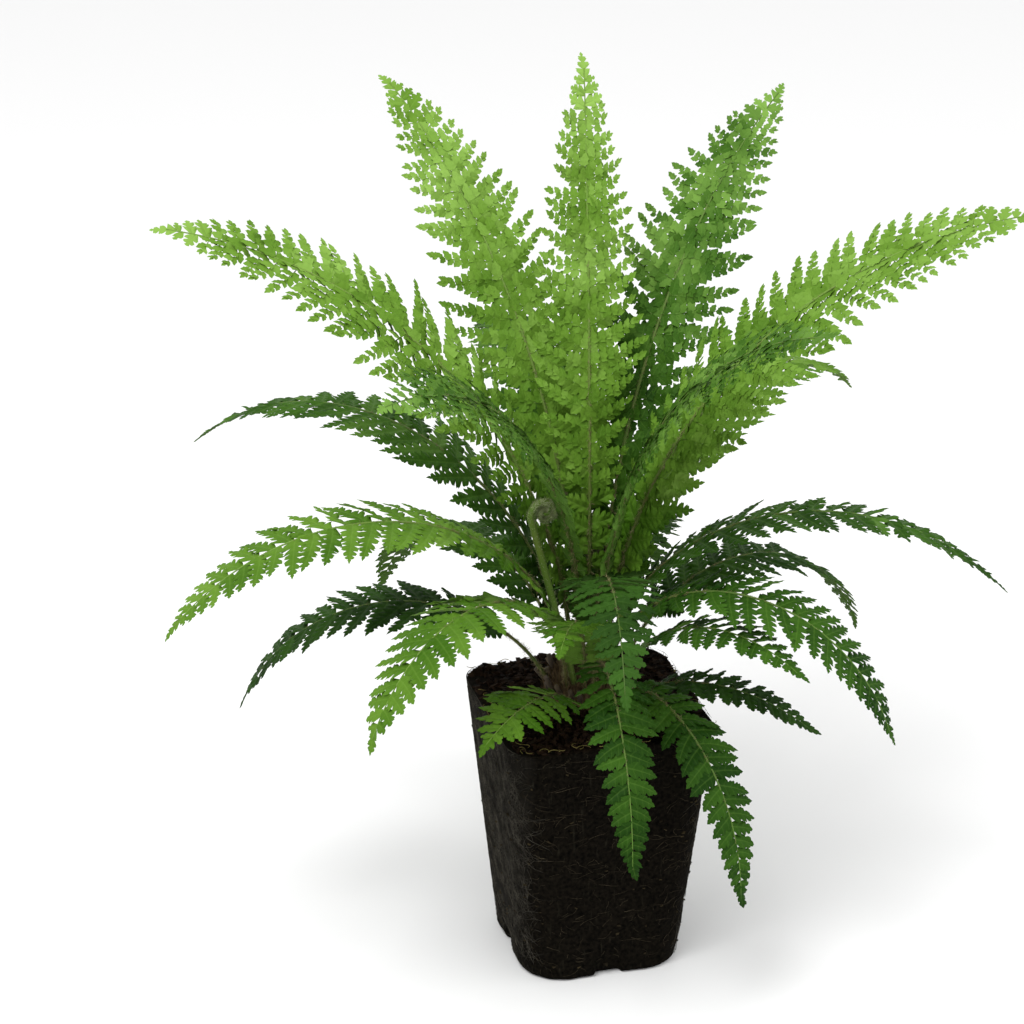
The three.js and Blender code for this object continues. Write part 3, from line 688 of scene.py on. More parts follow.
# %% Rows of pinnules
def divided_leaflets(bundle, leaflets, random):
    """A pinnule's point a along it and b across it goes to x = reach + a cos(angle) + b sin(angle) and
    y = a sin(angle) - b cos(angle), with y turned over on the side towards the frond's foot."""
    length, width = leaflets.length[:, None], leaflets.width[:, None]
    count = np.clip(np.round(length / PINNULE_PITCH), 2, MOST_PINNULES)
    number = np.arange(MOST_PINNULES)[None, :]
    share = np.clip((number + 0.22) / (count + 0.15), 0, 1)
    tipward = np.array([1.0, -1.0])
    reach = (share * length)[..., None] + tipward * 0.4
    size = (0.70 * width * (1 - share) ** 0.7)[..., None] * np.where(tipward > 0, 1.0, 0.93)
    size = size * np.where((number == 0)[..., None] & (tipward > 0), 1.25, 1.0) + 1.0
    size = np.minimum(size, 1.0 + 0.36 * length[..., None]) * random.normal(1, 0.07, size.shape)
    angle = np.radians(64 - 24 * share + 16 * (number == 0))[..., None]
    angle = (angle + random.normal(0, 0.11, size.shape))[..., None]
    tilt = random.normal(0.16, 0.22, size.shape)[..., None]
    pitch = (length / (count + 0.15))[..., None]

    a = PINNULE_POINTS[:, 0] * size[..., None]
    b = PINNULE_POINTS[:, 1] * np.minimum(size, 1.9 * pitch)[..., None]
    c = PINNULE_POINTS[:, 2] * size[..., None] - PINNULE_KEEL * np.minimum(1, size[..., None] / 4)
    x = reach[..., None] + a * np.cos(angle) + b * np.sin(angle)
    y = tipward[:, None] * (a * np.sin(angle) - b * np.cos(angle))
    z = c + b * tilt - 0.014 * a * a
    used = np.broadcast_to((number < count)[..., None], size.shape)
    which = np.nonzero(used)[0]
    points = leaflets.bend(which, np.stack([x, y, z], -1)[used])
    mirrored = leaflets.mirrored[:, None, None] != (tipward > 0)
    mirrored = np.broadcast_to(mirrored, size.shape)[used]
    marks = np.empty(points.shape)
    marks[..., :2] = PINNULE_MARKS
    marks[..., 2] = random.uniform(0, 1, (len(points), 1))
    place_leaves(bundle, points, 4, len(PINNULE), mirrored, marks)


def last_pinnules(bundle, leaflets):
    """The pinnule at the end of each leaflet, in line with it: a share of its length, at most 5 mm."""
    every = np.arange(len(leaflets.length))
    end = np.minimum(0.16 * leaflets.length + 1.2, 5.0)[:, None]
    x = PINNULE_POINTS[:, 0] * end + leaflets.length[:, None] - 0.8 * end
    y, z = PINNULE_POINTS[:, 1] * end * 0.8, PINNULE_POINTS[:, 2] * end - PINNULE_KEEL * 0.5
    points = leaflets.bend(every, np.stack([x, y, z], -1))
    marks = np.broadcast_to(np.append(PINNULE_MARKS, np.full((len(PINNULE_MARKS), 1), 0.5), 1), points.shape)
    place_leaves(bundle, points, 4, len(PINNULE), leaflets.mirrored, marks)


# %% [markdown]
# ## Ribs, stems and a whole frond
#
# A leaflet has a fine rib below its vein, and all ribs join the stem. The stem is as thick as a match
# at its foot and carries brown scales that get fewer and smaller towards the tip. The last leaflet
# of a frond grows straight on along the stem.

# %% Ribs
def add_ribs(bundle, leaflets, sunk):
    """A thin tube of four sides along each leaflet, sunk below its vein."""
    every = np.arange(len(leaflets.length))
    x = np.linspace(-0.03, 0.93, 6) * leaflets.length[:, None]
    paths = leaflets.bend(every, np.stack([x, 0 * x, 0 * x - sunk], -1))
    radii = np.linspace(0.34, 0.12, 6) * (0.5 + leaflets.length[:, None] / 50)
    bundle.add(*tubes(paths, radii, 4), RIB, (1.0, 0.5, 0.5), smooth=True)


# %% Stems
def add_stem(bundle, facts, rib, random):
    """The stem as a tube that narrows, and scales at random places, most of them near its foot."""
    t = np.linspace(0, 1 - 0.6 * TIP_LEAFLET / facts["length"], 48)
    thick = 0.55 + facts["length"] / 460
    radii = thick * (1 - 0.78 * t**0.7)
    greenness = np.append(np.repeat(t, 7), [0, 1])
    marks = np.stack([greenness, 0 * greenness, 0 * greenness], -1)
    bundle.add(*tubes(rib.at(t)[0][None], radii[None], 7), RIB, marks, smooth=True)
    number = int(4.6 * facts["length"])
    t = np.clip(random.beta(0.9, 2.0, number) + 0.03, 0, 0.97)
    places, along, side, upper = rib.at(t)
    turn = random.uniform(0, 2 * np.pi, number)[:, None]
    outward = side * np.cos(turn) + upper * np.sin(turn)
    feet = places + outward * (thick * (0.92 - 0.75 * t[:, None] ** 0.7))
    towards = outward * random.uniform(0.3, 1.0, (number, 1))
    towards = towards + along * random.uniform(-0.9, 1.0, (number, 1))
    lengths = random.uniform(0.8, 2.5, number) * (1.2 - t)
    bundle.add(*scales(feet, towards, outward, lengths, 0.24), SCALE)


# %% A whole frond
SHORT_LEAFLET = 9.0
DEEPEST_LOBE = 0.6


def frond(name, values, random):
    """Lobed leaflets where they are short or the frond isn't divided, and divided ones elsewhere."""
    facts = dict(zip(FROND_FACTS, values))
    rib = Rib(facts)
    bundle = Bundle()
    rows = two_rows(facts, rib, random)
    short = (rows.length < SHORT_LEAFLET) | (facts["cut"] < 1)
    if short.any():
        lobed_leaflets(bundle, rows.only(short), min(facts["cut"], DEEPEST_LOBE), random)
    if not short.all():
        divided_leaflets(bundle, rows.only(~short), random)
        last_pinnules(bundle, rows.only(~short))
    if "_low_" not in name and "_hanging_" not in name:
        stalk = two_rows(facts, rib, random, small=True)
        lobed_leaflets(bundle, stalk, 0.5, random)
        add_ribs(bundle, stalk, 0.33)
    place, along, side, upper = (v[None] for v in rib.at(1 - TIP_LEAFLET / facts["length"]))
    last = Leaflets(place, along, side, upper, np.array([1.15 * TIP_LEAFLET]), np.array([4.6]), random)
    lobed_leaflets(bundle, last, min(facts["cut"], 0.7), random)
    add_ribs(bundle, rows, 0.12 if facts["cut"] == 1 else 0.33)
    add_stem(bundle, facts, rib, random)
    leaf = facts["leaf"]
    finishes = [LEAF_FINISHES[leaf], RIB_FINISHES[leaf], STEM_SCALE, UNDER_FINISHES[leaf]]
    bundle.piece(name + "_leaf", finishes, "frond_" + leaf, name)


# %% [markdown]
# ## Leaf finishes
#
# A fern leaf is a soft green that differs from frond to frond: young ones are yellow-green and older ones a
# darker green. Fronds that stand in shade get deep, a darker and a little bluer copy of the green, which is
# painted shade, and every leaf is darker the lower it grows on the plant, painted shade too. Veins are
# paler. Each pinnule or leaflet has its own tone, and a broad noise turns some stretches yellower. The
# underside is paler and dull.

# %% Leaf finish
VEIN_SHARE = 0.15


def leaf_finish(name, dark, middle, light, pale):
    """Dark to light by tone, which adds up a leaf's own random number, a broad noise and the height. The
    height term is painted shade: leaves lower on the plant are darker. Pale is the share of the light colour
    that the underside gets."""
    finish = Finish(name, 0.06)
    phase, across, own = finish.mark("marks")
    # The height, times 2.6, paints shade into the tone: the lower a leaf grows, the darker it is.
    tone = own * 0.35 + finish.noise(26.0, 2.0) * 1.1 + finish.reach(2) * 2.6 - 0.91
    blade = finish.colour((tone * 2.0).clipped(), dark, middle)
    blade = finish.colour((tone * 2.0 - 1.0).clipped(), blade, light)
    blade = finish.colour(pale, blade, light)
    off_vein = phase.math("FRACT", phase) - 0.55
    side_vein = (1.0 - off_vein.math("ABSOLUTE", off_vein) * 9.0).clipped() * 0.45
    vein = ((1.0 - across * 7.0).clipped() + side_vein).clipped() * VEIN_SHARE
    blade = finish.colour(vein, blade, light)
    fine = finish.noise(900.0, 2.0)
    return finish.wear(blade, 0.48 + fine * 0.25, fine * 0.7 + vein * -1.0, 0.0002, 0.3)


# Dark, middle and light tone, in linear colour.
LEAF_COLOURS = {
    "fresh": ((0.030, 0.086, 0.0035), (0.084, 0.172, 0.016), (0.165, 0.285, 0.052)),
    "green": ((0.007, 0.029, 0.0012), (0.029, 0.081, 0.006), (0.125, 0.235, 0.040)),
    # deep: a darker, bluer copy of the green, painted shade for the fronds that stand in shade.
    "deep": ((0.007, 0.024, 0.002), (0.022, 0.064, 0.006), (0.060, 0.126, 0.022)),
}

# %% Finishes of ribs and scales
STEM_GREEN = (0.050, 0.085, 0.016)
STEM_BROWN = (0.080, 0.066, 0.022)


def rib_finish(name, middle, light):
    """Brown and green patches at the foot, turning to a mix of the leaf's two lighter tones along it."""
    finish = Finish(name, 0.15)
    along, _, _ = finish.mark("marks")
    foot = finish.colour(finish.patches(60.0, 2.2, 0.7, 2.0), STEM_GREEN, STEM_BROWN)
    tip = 0.6 * np.array(middle) + 0.4 * np.array(light)
    colour = finish.colour((along * 1.5 - 0.1).clipped() * 0.8, foot, tip)
    return finish.wear(colour, 0.55, finish.noise(1500.0), 0.0001, 0.3)


def scale_finish(name, pale, dark):
    """Papery, with patches from a pale to a dark brown."""
    finish = Finish(name, 0.15)
    return finish.wear(finish.colour(finish.patches(420.0, 2.4, 0.7, 2.0), pale, dark), 0.75)


LEAF_FINISHES, UNDER_FINISHES, RIB_FINISHES = {}, {}, {}
# The deep leaf, underside and rib finishes carry painted shade, since they are darker copies of the green.
for leaf, tones in LEAF_COLOURS.items():
    LEAF_FINISHES[leaf] = leaf_finish("leaf_" + leaf, *tones, 0.0)
    UNDER_FINISHES[leaf] = leaf_finish("under_" + leaf, *tones, 0.3)
    RIB_FINISHES[leaf] = rib_finish("rib_" + leaf, *tones[1:])
CROWN_SCALE = scale_finish("crown_scale", (0.130, 0.090, 0.042), (0.045, 0.026, 0.012))
STEM_SCALE = scale_finish("stem_scale", (0.190, 0.180, 0.085), (0.085, 0.062, 0.026))
WOOL = scale_finish("wool", (0.320, 0.370, 0.190), (0.140, 0.160, 0.065))
print("finishes so far:", len(bpy.data.materials))

# %% All fronds
for order, (name, values) in enumerate(FRONDS.items()):
    frond(name, values, np.random.default_rng(100 + order))
print("faces in the fronds:", sum(made_faces.values()), "most in one:", max(made_faces.values()))

# %% [markdown]
# ## Coiled young fronds
#
# A fern unrolls its fronds. Before that each is a crook as thick as a pencil lead, wrapped in woolly
# scales. It is a tube along a straight line that turns into a shrinking coil, with scales all over.

# %% The path of a coiled frond
CROZIER_TURNS = 1.35
LAST_RADIUS = 0.24
STEM_POINTS = 14
THICK_RADIUS, THIN_RADIUS = 1.5, 0.75


def crozier_path(facts, steps):
    """Straight up along the lean, then the cosine and sine of the turn on a radius that shrinks."""
    lean, heading = np.radians(facts["lean"]), np.radians(facts["heading"])
    along = np.array([np.cos(lean) * np.cos(heading), np.cos(lean) * np.sin(heading), np.sin(lean)])
    side = np.array([-np.sin(heading), np.cos(heading), 0])
    upper = np.cross(along, side)
    start = foot_of(facts["stands"], facts["ring"])
    straight = facts["height"] + SOCKET_DEPTH - 3.0
    middle = start + along * straight + upper * facts["coil"]
    stem = start + along * np.linspace(0, 0.97, STEM_POINTS)[:, None] * straight
    share = np.linspace(0, 1, steps)[:, None]
    angle = share * CROZIER_TURNS * 2 * np.pi
    radius = facts["coil"] * (1 + (LAST_RADIUS - 1) * share**0.8)
    coil = middle - upper * radius * np.cos(angle) + along * radius * np.sin(angle)
    narrowing = THICK_RADIUS + (THIN_RADIUS - THICK_RADIUS) * share[:, 0]
    thickness = np.concatenate([np.full(STEM_POINTS, THICK_RADIUS), narrowing])
    return np.vstack([stem, coil]), thickness, side


# %% Coiled young fronds
WOOLLY_SCALES = 2600


def crozier(name, values, random):
    """The tube, and scales whose feet stand round it at random places along the path."""
    facts = dict(zip(CROZIER_FACTS, values))
    path, thickness, side = crozier_path(facts, 46)
    bundle = Bundle()
    bundle.add(*tubes(path[None], thickness[None], 10), 0, smooth=True)
    x = random.beta(1.2, 1.0, WOOLLY_SCALES) * (len(path) - 1.01)
    i = x.astype(int)
    places = path[i] + (path[i + 1] - path[i]) * (x - i)[:, None]
    along = unit(path[i + 1] - path[i])
    turn = random.uniform(0, 2 * np.pi, WOOLLY_SCALES)[:, None]
    outward = side * np.cos(turn) + np.cross(side, along) * np.sin(turn)
    feet = places + outward * (thickness[i, None] - 0.1)
    towards = outward * random.uniform(0.2, 1.4, (WOOLLY_SCALES, 1)) + along
    towards = towards + random.normal(0, 0.4, (WOOLLY_SCALES, 3))
    lengths = random.uniform(0.7, 1.9, WOOLLY_SCALES)
    bundle.add(*scales(feet, towards, outward, lengths, 0.22), 1)
    bundle.piece(name + "_coil", [RIB_FINISHES["fresh"], WOOL], "crozier", name)


for order, (name, values) in enumerate(CROZIERS.items()):
    crozier(name, values, np.random.default_rng(200 + order))
    print("faces in", name, "coil:", made_faces[name + "_coil"])

# %% [markdown]
# ## Grain
#
# Compost is lumps on lumps. The numbers come from a cubic grid: each grid corner gets a random number,
# and between corners they are blended smoothly. Grids of several sizes are added up.

# %% Grain
def grid_noise(points, size, seed):
    """Random numbers at the corners of a cubic grid, mixed by the smooth share of the way between."""
    place = np.asarray(points) / size
    corner = np.floor(place).astype(np.int64)
    share = ease(place - corner)
    total = 0.0
    for shift in np.ndindex(2, 2, 2):
        at = corner + np.array(shift)
        code = at[..., 0] * 73856093 ^ at[..., 1] * 19349663 ^ at[..., 2] * 83492791 ^ (seed * 2654435761)
        code = (code ^ (code >> 13)) * 1274126177
        value = ((code ^ (code >> 16)) & 0xFFFF) / 0xFFFF
        total = total + value * np.prod(np.where(shift, share, 1 - share), axis=-1)
    return total


def grain(points, sizes, seed):
    """A sum of grid noises, each from -1 to 1 and times its size as a share of the largest."""
    layers = [(2 * grid_noise(points, size, seed + i) - 1) * size / sizes[0] for i, size in enumerate(sizes)]
    return sum(layers)


sample = grain(np.random.default_rng(1).uniform(0, 90, (1000, 3)), [9, 4.2, 2.1, 1.1], 3)
print("grain at a thousand places, from", round(sample.min(), 2), "to", round(sample.max(), 2))

# %% [markdown]
# ## The root ball
#
# The compost has taken the shape of its pot: a square with round corners that narrows to the foot,
# flat below, with a crumbly top. One grid wraps it from the middle of the foot, up the sides and in
# over the top to the crown. A square's point is drawn in to a circle round the corner's centre, which
# rounds the corners. Then the grain pushes the sides by tenths of a millimetre and the top by more.

# %% The outline of the root ball
BALL_TOP, BALL_FOOT = 90.0, 70.0
TOP_CORNER, FOOT_CORNER = 14.0, 19.0
FOOT_ROUNDING = 3.0
SOIL_MOUND = 5.0
SLOT_DEPTH, SLOT_HEIGHT = 3.0, 12.0


def round_square(w, half, corner):
    """Point w, from 0 to 4 anticlockwise from the middle of the +X side, of a square with round corners."""
    x = half * np.clip(2 * np.abs(w % 4 - 2) - 2, -1, 1)
    y = half * np.clip(2 * np.abs((w - 1) % 4 - 2) - 2, -1, 1)
    inner = half - corner
    core = np.stack([np.clip(x, -inner, inner), np.clip(y, -inner, inner)], -1)
    off = np.stack([x, y], -1) - core
    reach = np.linalg.norm(off, axis=-1, keepdims=True)
    return core + off / np.maximum(reach, 1e-9) * np.minimum(reach, np.asarray(corner)[..., None])


def ball_side(w, z):
    """Place on the side of the root ball at height z."""
    share = z / SOIL_LINE
    half = (BALL_FOOT + (BALL_TOP - BALL_FOOT) * share) / 2
    corner = FOOT_CORNER + (TOP_CORNER - FOOT_CORNER) * share
    return np.concatenate([round_square(w, half, corner), np.broadcast_to(z, w.shape)[..., None]], -1)


def soil_height(x, y):
    """The soil line plus a mound that falls with the square of the distance from the middle."""
    share = np.sqrt(x * x + y * y) / (BALL_TOP / 2)
    return SOIL_LINE + SOIL_MOUND * np.clip(1 - share * share, -0.2, 1)


print("widths in mm at the soil and at the foot:", BALL_TOP, BALL_FOOT, "height:", SOIL_LINE)


# %% The grid of the root ball
def ball_grid(columns, side_rows, top_rows):
    """Rows of round squares: growing over the foot, round its edge, up the sides and in over the top."""
    w = np.arange(columns) * 4 / columns
    rows = []
    for share in np.linspace(0.04, 0.97, 9):
        half = (BALL_FOOT / 2 - FOOT_ROUNDING) * share
        rows.append(np.pad(round_square(w, half, (FOOT_CORNER - FOOT_ROUNDING) * share), ((0, 0), (0, 1))))
    for turn in np.linspace(0, np.pi / 2, 7):
        z = FOOT_ROUNDING * (1 - np.cos(turn))
        inset = FOOT_ROUNDING * (1 - np.sin(turn))
        half = (BALL_FOOT + (BALL_TOP - BALL_FOOT) * z / SOIL_LINE) / 2 - inset
        ring = round_square(w, half, FOOT_CORNER - inset)
        rows.append(np.concatenate([ring, np.full((columns, 1), z)], -1))
    for z in np.linspace(FOOT_ROUNDING, SOIL_LINE - 1.5, side_rows)[1:]:
        rows.append(ball_side(w, np.full(columns, z)))
    for share in np.linspace(0.985, 0.03, top_rows):
        ring = round_square(w, BALL_TOP / 2 * share, TOP_CORNER * share)
        rows.append(np.concatenate([ring, soil_height(ring[:, :1], ring[:, 1:])], -1))
    return np.stack(rows)


def push_slots(points):
    """Presses the print of a drainage slot into the foot of each side: deepest in the middle and below."""
    for axis in (0, 1):
        along = points[..., 1 - axis]
        low = np.clip(1 - points[..., 2] / SLOT_HEIGHT, 0, 1)
        print_depth = SLOT_DEPTH * low * ease((6.5 - np.abs(along)) / 1.6)
        on_side = np.abs(points[..., axis]) > BALL_FOOT / 2 - 6
        points[..., axis] -= np.sign(points[..., axis]) * print_depth * on_side
    return points


# %% The crumbly surface
COLUMNS, SIDE_ROWS, TOP_ROWS = 300, 118, 44
ball = ball_grid(COLUMNS, SIDE_ROWS, TOP_ROWS)
normal = unit(np.cross(np.roll(ball, -1, 1) - np.roll(ball, 1, 1), np.gradient(ball, axis=0)))
is_top = ease((ball[..., 2] - SOIL_LINE + 2) / 3)
is_foot = ease((1.2 - ball[..., 2]) / 1.2)
lumps = grain(ball, [9, 4.2, 2.1, 1.1], 3)
crumbs = np.abs(grain(ball, [5.5, 2.6, 1.3], 17))
push = 0.42 * lumps * (1 - is_top) * (1 - is_foot) + is_top * (1.6 * crumbs - 0.4 + 0.7 * lumps)
ball = push_slots(ball + normal * push[..., None])
ball[..., 2] = np.maximum(ball[..., 2], 0)

compost = Bundle()
points = np.concatenate([ball.reshape(-1, 3), [[0, 0, 0], [0, 0, SOIL_LINE + SOIL_MOUND]]])
marks = np.append(is_top.ravel(), [0, 1])[:, None] * [1, 0, 0]
compost.add(points, ring_faces(len(ball), COLUMNS), 0, marks, smooth=True)
print("crumbs push the top of the soil by up to", round(push.max(), 1), "mm")


# %% Compost finish
def compost_finish():
    """Near black with brown grains and faint fibres. The top is redder, and the side at -X is paler."""
    finish = Finish("compost", 0.02)
    top, _, _ = finish.mark("marks")
    grains = finish.noise(620.0, 4.0)
    broad = finish.noise(45.0, 3.0)
    fibres = finish.noise(700.0, 3.0, (1.0, 1.0, 0.12))
    lumps = (grains * 2.0 - 0.75 + broad * 0.3).clipped()
    side = finish.colour(lumps, (0.0010, 0.0009, 0.0007), (0.0075, 0.0060, 0.0040))
    side = finish.colour((fibres * 5.0 - 3.1).clipped() * 0.4, side, (0.026, 0.024, 0.016))
    left = (finish.reach(0) * -250.0 - 8.6).clipped() * (broad * 1.6 - 0.2).clipped() * 0.5
    side = finish.colour(left, side, (0.018, 0.0165, 0.0135))
    soil = finish.colour((grains * 2.4 - 0.9).clipped(), (0.0014, 0.0009, 0.0006), (0.014, 0.008, 0.0045))
    colour = finish.colour(top, side, soil)
    return finish.wear(colour, 0.93, grains + fibres * 0.6, 0.0006, 0.7)


compost.piece("root_ball_compost", [compost_finish()], "compost", "root_ball")
print("faces in the compost:", made_faces["root_ball_compost"])

# %% [markdown]
# ## Roots, chips and straws
#
# Fine roots run down the inside of a pot and felt the compost. They are thousands of hair-thin tubes
# that wander over the sides. The side at -X is grey with them, the front has few. Chips of bark lie on
# the soil, and a few curled straws along its edges.

# %% Paths of roots
ROOT_STEPS = 5
ROOT_WANDER = 0.32


def wandering_roots(number, w_range, low, steepness, length, radius, random):
    """Paths in (w, z) on the side of the root ball: a start, and a heading that wanders. Low is the power
    of a random share of the height: below 1 it leaves more roots near the top."""
    start_w = random.uniform(*w_range, number)
    start_z = 3 + (SOIL_LINE - 4) * random.uniform(0, 1, number) ** low
    heading = random.choice([-1, 1], number) * (np.pi / 2 + random.normal(0, 1 - steepness, number))
    heading = heading[:, None] + np.cumsum(random.normal(0, ROOT_WANDER, (number, ROOT_STEPS)), axis=1)
    step = (length * random.uniform(0.4, 1.6, number) / ROOT_STEPS)[:, None]
    w = start_w[:, None] + np.cumsum(np.cos(heading) * step, axis=1) / 40
    z = np.clip(start_z[:, None] + np.cumsum(np.sin(heading) * step, axis=1), 2.5, SOIL_LINE - 0.5)
    surface = ball_side(w, z)
    outward = unit(surface * [1, 1, 0])
    height = 0.05 + random.uniform(0, 0.3, (number, ROOT_STEPS))
    paths = push_slots(surface) + outward * height[..., None]
    radii = radius * random.uniform(0.6, 1.3, (number, 1)) * np.linspace(1, 0.5, ROOT_STEPS)
    return tubes(paths, radii, 3)


# %% Fine roots
random = np.random.default_rng(31)
roots = Bundle()
roots.add(*wandering_roots(3600, (1.5, 2.45), 0.7, 0.62, 9, 0.085, random), 0)
roots.add(*wandering_roots(340, (2.45, 3.6), 0.8, 0.1, 5, 0.09, random), 1)
roots.add(*wandering_roots(800, (3.5, 4.5), 0.8, 0.5, 8, 0.085, random), 0)
roots.add(*wandering_roots(800, (0.5, 1.5), 0.8, 0.5, 8, 0.085, random), 0)


def root_finish(name, dark, light):
    """Dull, with patches from dark to light."""
    finish = Finish(name, 0.05)
    return finish.wear(finish.colour(finish.patches(160.0, 2.4, 0.7), dark, light), 0.85)


PALE_ROOT = root_finish("root_pale", (0.011, 0.010, 0.008), (0.058, 0.053, 0.042))
DARK_ROOT = root_finish("root_dark", (0.010, 0.008, 0.005), (0.045, 0.036, 0.022))
roots.piece("fine_roots", [PALE_ROOT, DARK_ROOT], "compost")
print("faces in the roots:", made_faces["fine_roots"])

# %% Chips
CHIP = np.array([
    [-1, -1, -1], [1, -1, -1], [1, 1, -1], [-1, 1, -1],
    [-1, -1, 1], [1, -1, 1], [1, 1, 1], [-1, 1, 1],
])
CHIP_FACES = np.array([
    [0, 3, 2], [0, 2, 1], [4, 5, 6], [4, 6, 7], [0, 1, 5], [0, 5, 4],
    [1, 2, 6], [1, 6, 5], [2, 3, 7], [2, 7, 6], [3, 0, 4], [3, 4, 7],
])


def turned(a, b, angle):
    """The pair a and b after a turn of their plane: a cos + b sin, and b cos - a sin."""
    cos, sin = np.cos(angle)[:, None], np.sin(angle)[:, None]
    return a * cos + b * sin, b * cos - a * sin


def chips(places, sizes, random):
    """Uneven little blocks: eight corners moved at random, scaled, and turned by two angles."""
    number = len(places)
    corners = CHIP + random.normal(0, 0.28, (number, 8, 3))
    corners = corners * sizes[:, None, :] / 2
    turn = random.uniform(0, 2 * np.pi, number)
    tilt = random.normal(0, 0.45, number)
    x, y, z = np.moveaxis(corners, -1, 0)
    x, z = turned(x, z, tilt)
    y, x = turned(y, x, turn)
    points = np.stack([x, y, z], -1) + places[:, None, :]
    return points.reshape(-1, 3), copies(CHIP_FACES, number, 8)


def soil_places(number, inner, random):
    """Random places on the soil, outside the crown and inside the round square."""
    w = random.uniform(0, 4, number)
    share = np.sqrt(random.uniform(inner**2, 0.97**2, number))
    flat = round_square(w, BALL_TOP / 2 * share, TOP_CORNER * share)
    return np.concatenate([flat, soil_height(flat[:, :1], flat[:, 1:])], -1)


# %% Chips on the soil and flecks on the sides
CHIP_COUNT, FLECK_COUNT = 950, 200
SMALLEST_CHIP, LARGEST_CHIP = (2.2, 1.0, 0.5), (5.2, 2.6, 1.4)

random = np.random.default_rng(41)
bits = Bundle()
places = soil_places(CHIP_COUNT, 0.42, random)
sizes = random.uniform(0.5, 1.0, (CHIP_COUNT, 1))
sizes = sizes * random.uniform(SMALLEST_CHIP, LARGEST_CHIP, (CHIP_COUNT, 3))
bits.add(*chips(places + [0, 0, 0.5], sizes, random), 0)

w, z = random.uniform(0, 4, FLECK_COUNT), random.uniform(3, SOIL_LINE - 1, FLECK_COUNT)
places = push_slots(ball_side(w, z))
bits.add(*chips(places, random.uniform(0.3, 0.9, (FLECK_COUNT, 3)) * [1.8, 1.8, 0.7], random), 1)
print("points in the chips and flecks:", bits.count)

# %% Straws
STRAW_POINTS = 7


def straws(number, w_range, length, random):
    """Arcs that lie near the edge of the soil: a start, a heading along the edge and a steady turn."""
    w = random.uniform(*w_range, number)
    start = round_square(w, BALL_TOP / 2 - random.uniform(0, 6, number), TOP_CORNER)
    heading = np.pi / 2 * (np.round(w) + 1) + random.normal(0, 0.6, number)
    turn = random.choice([-1, 1], number) * random.uniform(0.3, 2.0, number)
    heading = heading[:, None] + np.linspace(-1, 1, STRAW_POINTS) * turn[:, None]
    step = (length * random.uniform(0.5, 1.2, number) / STRAW_POINTS)[:, None]
    edge = BALL_TOP / 2 + 0.4
    x = np.clip(start[:, :1] + np.cumsum(np.cos(heading) * step, axis=1), -edge, edge)
    y = np.clip(start[:, 1:] + np.cumsum(np.sin(heading) * step, axis=1), -edge, edge)
    z = SOIL_LINE + random.uniform(0.5, 1.5, (number, 1)) + 0.3 * np.sin(np.linspace(0, 3, STRAW_POINTS))
    return tubes(np.stack([x, y, z], -1), 0.17 * np.linspace(1, 0.6, STRAW_POINTS)[None], 5)


bits.add(*straws(26, (2.65, 3.2), 7, random), 2, smooth=True)
bits.add(*straws(36, (-0.8, 2.7), 7, random), 2, smooth=True)


def bark_finish(name, gloss, patch, dark, light, grain_scale):
    """Patches from dark to light brown, rough with a fine grain. Patch is scale, contrast and offset."""
    finish = Finish(name, gloss)
    colour = finish.colour(finish.patches(*patch), dark, light)
    return finish.wear(colour, 0.85, finish.noise(grain_scale), 0.0003, 0.6)


BARK = bark_finish(
    "bark_chip", 0.05, (240.0, 2.6, 0.8), (0.002, 0.0012, 0.0008), (0.022, 0.0115, 0.006), 1500.0,
)
FLECK = root_finish("fleck", (0.004, 0.003, 0.002), (0.034, 0.026, 0.012))
STRAW = root_finish("straw", (0.060, 0.050, 0.014), (0.160, 0.135, 0.045))
bits.piece("soil_bits", [BARK, FLECK, STRAW], "compost")
print("faces in the soil bits:", made_faces["soil_bits"])

# %% [markdown]
# ## The crown
#
# The crown is a short upright stem hidden by last year's stubs and by papery brown scales. It is a
# lumpy knob with scales at random places all over it, pointing up and outwards, and stubs that lean out.

# %% The knob of the crown
KNOB_HEIGHTS = np.array([-8.0, -6.5, -3.2, 4.5, 9.4, 12.6, 13.0])
KNOB_RADII = np.array([2.0, 14.4, 18.0, 18.0, 15.5, 9.0, 0.5])
KNOB_ROWS, KNOB_COLUMNS = 30, 72


def crown_surface(turns, shares):
    """The knob: radius and height follow the share of the way up, with lumps round it."""
    marks = np.linspace(0, 1, len(KNOB_HEIGHTS))
    lumpy = 1 + 0.05 * np.sin(9 * turns) + 0.03 * np.sin(23 * turns + 1)
    radius = np.interp(shares, marks, KNOB_RADII) * lumpy
    height = np.interp(shares, marks, KNOB_HEIGHTS) + SOIL_LINE
    return np.stack([radius * np.cos(turns), radius * np.sin(turns), height], -1)


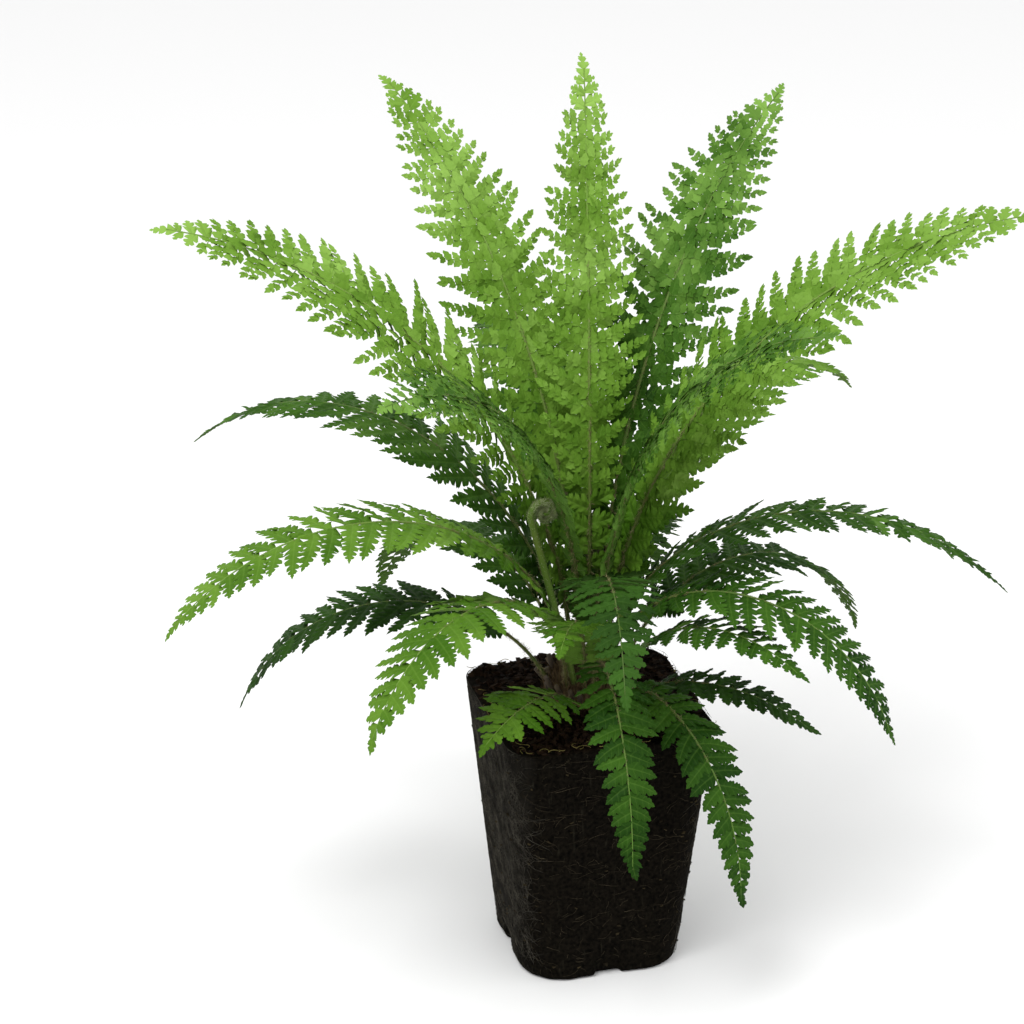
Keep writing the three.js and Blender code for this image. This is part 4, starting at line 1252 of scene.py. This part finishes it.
random = np.random.default_rng(51)
crown = Bundle()
turns = np.arange(KNOB_COLUMNS) * 2 * np.pi / KNOB_COLUMNS
knob = crown_surface(*np.meshgrid(turns, np.linspace(0, 1, KNOB_ROWS)))
ends = [[0, 0, SOIL_LINE + KNOB_HEIGHTS[0]], [0, 0, SOIL_LINE + KNOB_HEIGHTS[-1]]]
crown.add(np.concatenate([knob.reshape(-1, 3), ends]), ring_faces(KNOB_ROWS, KNOB_COLUMNS), 0, smooth=True)
print("the knob is", 2 * KNOB_RADII.max(), "mm wide and", np.ptp(KNOB_HEIGHTS), "mm high")

# %% Scales of the crown
SCALE_COUNT = 2600

turn, share = random.uniform(0, 2 * np.pi, SCALE_COUNT), random.uniform(0.36, 0.99, SCALE_COUNT)
feet = crown_surface(turn, share)
outward = unit((feet - [0, 0, SOIL_LINE - 2]) * [1, 1, 1.3])
towards = outward * random.uniform(0.2, 0.9, (SCALE_COUNT, 1)) + [0, 0, 1]
towards = towards + random.normal(0, 0.25, (SCALE_COUNT, 3))
lengths = random.uniform(2.0, 6.0, SCALE_COUNT)
crown.add(*scales(feet, towards, outward, lengths, 0.5), 0)
print("points in the crown with its scales:", crown.count)

# %% Stubs of the crown
STUB_COUNT = 26
STUB_TURN = 2.4

turn = np.arange(STUB_COUNT) * STUB_TURN
lean = random.uniform(0.3, 0.8, STUB_COUNT)
outward = np.stack([np.cos(turn), np.sin(turn), 0 * turn], -1)
start = outward * random.uniform(13, 17, (STUB_COUNT, 1)) + [0, 0, SOIL_LINE + 3]
reach = random.uniform(8, 15, STUB_COUNT)
path = np.linspace(0, 1, 6)[None, :, None]
direction = outward * np.sin(lean)[:, None] + np.cos(lean)[:, None] * [0, 0, 1]
stubs = start[:, None] + direction[:, None] * path * reach[:, None, None]
crown.add(*tubes(stubs, np.linspace(1.5, 1.0, 6)[None], 7), 1, smooth=True)

STUB = bark_finish("stub", 0.5, (200.0, 2.4, 0.7), (0.018, 0.011, 0.006), (0.075, 0.050, 0.024), 900.0)
crown.piece("crown_scales", [CROWN_SCALE, STUB], "crown", "crown")
print("faces in all pieces:", sum(made_faces.values()))

# %% Sizes, and the end
ends = {"cad": cad_box, "visual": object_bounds()}
